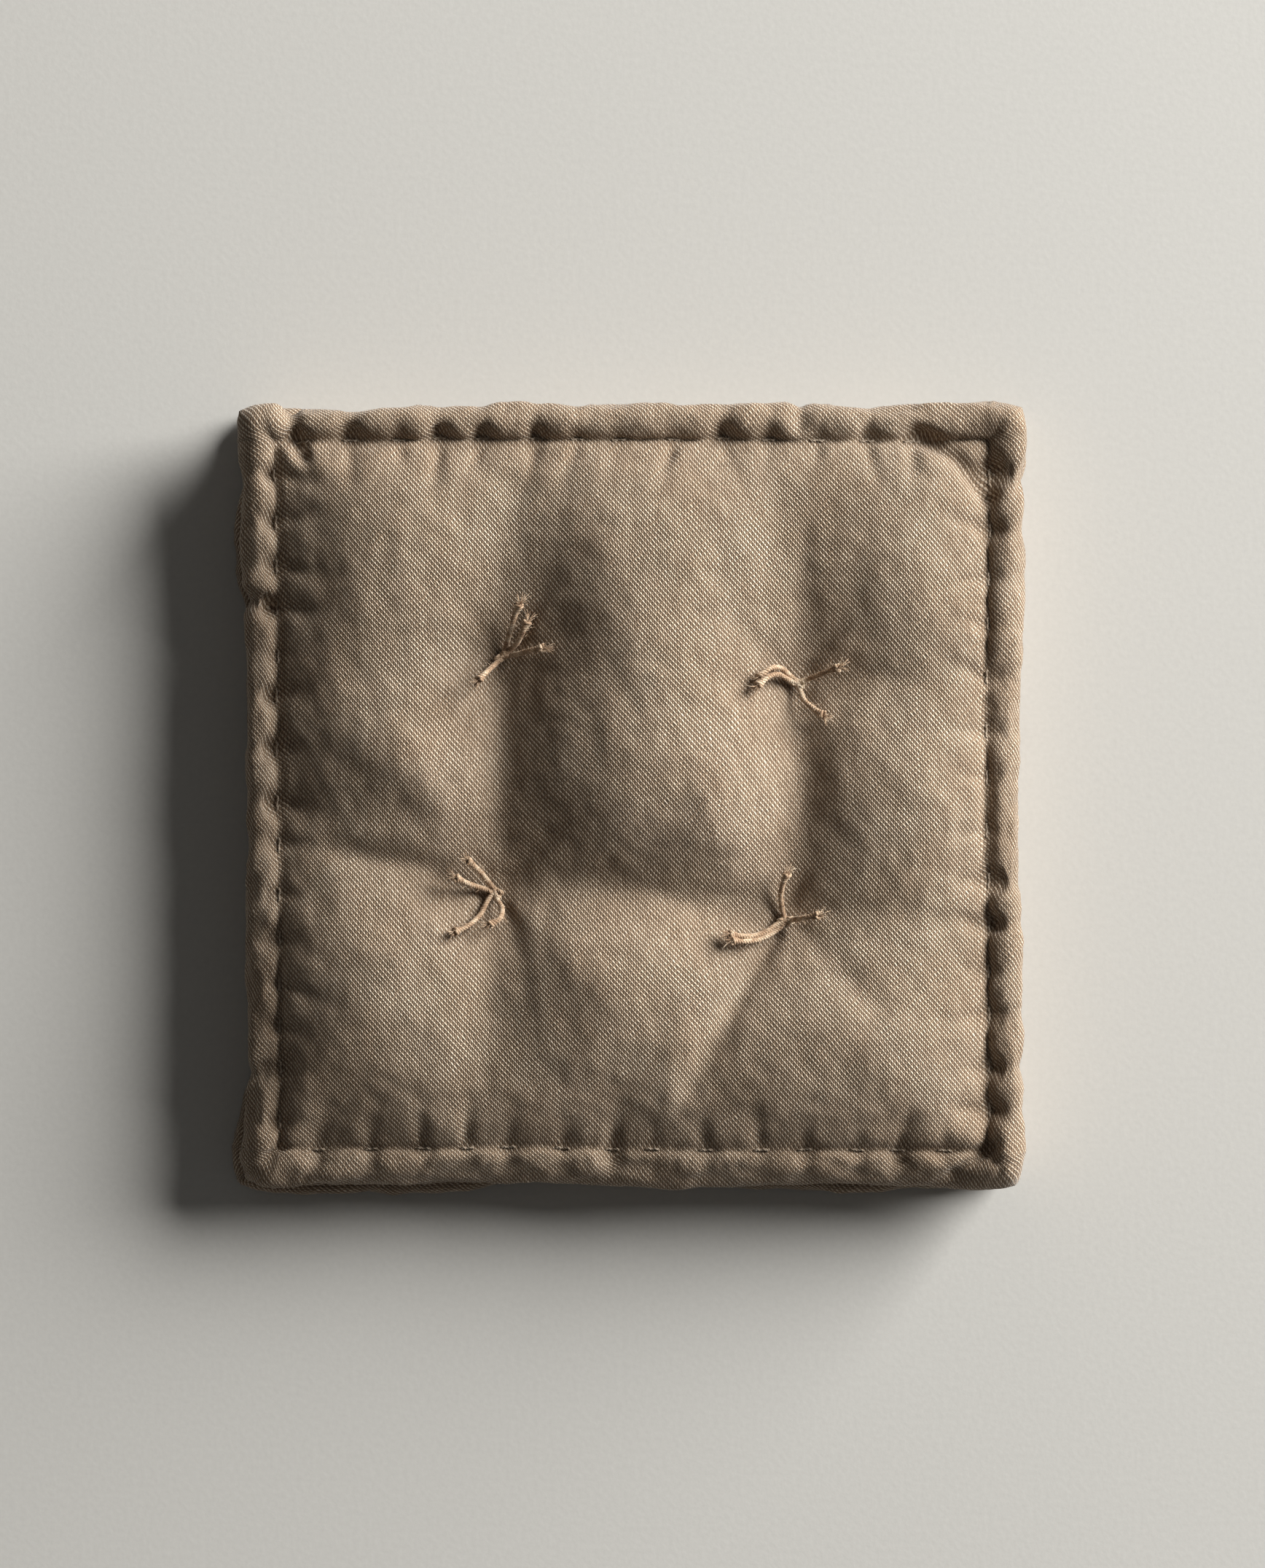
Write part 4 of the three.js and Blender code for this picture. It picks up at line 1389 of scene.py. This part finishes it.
def closed_between(upper, lower):
    """Points and faces of a body between two grids of the same shape."""
    at = numbered(*upper.shape[:2])
    faces = quads(at)
    rim = ring_of(at)
    after = np.roll(rim, -1)
    wall = np.stack([rim, rim + at.size, after + at.size, after], axis=-1)
    return (np.concatenate([upper.reshape(-1, 3), lower.reshape(-1, 3)]),
            np.concatenate([faces, faces[:, ::-1] + at.size, wall]))


def capped(rings):
    """Points and faces of a closed body through rings of points."""
    at = numbered(*rings.shape[:2])
    around = np.concatenate([at, at[:, :1]], axis=1)
    walls = np.roll(quads(around)[:, ::-1], 1, axis=1)
    return rings.reshape(-1, 3), [*walls, at[0, ::-1], at[-1]]


def add_filling(name, node, points, faces, fill):
    add_piece(name, points, faces, "filling", node)


def lumpy(points, amount, spacing, part):
    """Small heights for the surface of a filling."""
    return amount * lattice(points, spacing, 1.2, FILLING_SEEDS[part])


def add_waddings(points):
    """The layers between the core and the two panels, inside the rolls."""
    inside = np.s_[ROLL_CELLS + 1:-ROLL_CELLS - 1, ROLL_CELLS + 1:-ROLL_CELLS - 1]
    top = pleated(points[COVER.top])
    upper = (top - normals_of(top) * LINING_GAP)[inside]
    flat = upper.copy()
    flat[..., 2] = WADDING_TOP + lumpy(upper, 0.6 * MM, 30 * MM, "upper")
    add_filling("wadding_upper", "upper_wadding", *closed_between(upper, flat), 0.8)
    bottom = points[COVER.bottom]
    lower = (bottom + normals_of(bottom) * LINING_GAP)[inside]
    flat = lower.copy()
    flat[..., 2] = WADDING_BOTTOM - GAP + lumpy(lower, 0.3 * MM, 30 * MM, "lower")
    add_filling("wadding_lower", "lower_wadding", *closed_between(flat, lower), 0.8)


def add_core():
    """The block of filling in the middle, rounded at its edges."""
    x, y = square(np.linspace(-CORE_EDGE, CORE_EDGE, CORE_CELLS + 1))
    rim = np.clip((np.maximum(np.abs(x), np.abs(y)) - (CORE_EDGE - CORE_ROUNDING)) / CORE_ROUNDING, 0, 1)
    drop = CORE_ROUNDING * (1 - np.sqrt(1 - rim ** 2))
    lumps = lumpy(np.stack([x, y], axis=-1), 0.8 * MM, 25 * MM, "core")
    middle = (WADDING_TOP + WADDING_BOTTOM) / 2
    half = (WADDING_TOP - WADDING_BOTTOM) / 2 - CORE_GAP
    upper = np.stack([x, y, middle + half - drop + lumps], axis=-1)
    lower = np.stack([x, y, middle - half + drop + lumps], axis=-1)
    add_filling("core_block", "core_filling", *closed_between(upper, lower), 0.9)


def add_rolls(points):
    """The stuffing of each rolled edge, a rope of fibre that fills the cloth around it."""
    for edge, panel in (("top", COVER.top), ("bottom", COVER.bottom)):
        for side in SIDE_NAMES:
            lines = side_of(points[panel], side)[PAD_CELLS:]
            boxing = boxing_side(points, side)
            tuck = boxing[1:TUCK_CELLS + 1] if edge == "top" else boxing[-2:-TUCK_CELLS - 2:-1]
            rings = np.concatenate([lines, tuck])[:, 2:-2].swapaxes(0, 1)
            middle = rings.mean(axis=1, keepdims=True)
            spokes = rings - middle
            length = np.linalg.norm(spokes, axis=-1, keepdims=True)
            room = np.maximum(length.min(axis=1, keepdims=True) - LINING_GAP, THINNEST_ROPE)
            rings = middle + unit(spokes) * room
            add_filling(f"roll_stuffing_{edge}_{side}", f"edge_roll_{edge}_{side}", *capped(rings), 1.0)


# ---- The whole cushion ----

def sewn_cover():
    """The closed cover before it is filled, its flat cut, and how firmly each point is held."""
    upper, lower = STITCHES["top"], STITCHES["bottom"]
    top = pinched(panel_shape(TOP, pad_height), TOP, upper, 1)
    bottom = pinched(panel_shape(BOTTOM, underside_height), BOTTOM, lower, -1)
    points = COVER.gathered(top, boxing_shape(), bottom)
    cut = COVER.gathered(*flat_cut())
    parts = panel_pins(TOP, upper, floor=False), boxing_pins(), panel_pins(BOTTOM, lower, floor=True)
    pins = COVER.gathered(*(part[..., None] for part in parts))[:, 0]
    random = np.random.default_rng(COVER_SEED)
    free = (pins < 0.9)[:, None]
    return points + random.normal(0, LUMPS, points.shape) * free, cut, pins


def settled(points):
    """The filled cover resting on the floor."""
    rested = points.copy()
    rested[:, 2] = np.maximum(rested[:, 2], FLOOR_CLEARANCE)
    return rested


sewn, cut, pins = sewn_cover()
full = filled(sewn, COVER.faces(), cut, pins)
shape = settled(handled(softened(full), COVER.faces()))
add_cover(shape)
add_stitches(shape)
add_waddings(shape)
add_core()
add_rolls(shape)
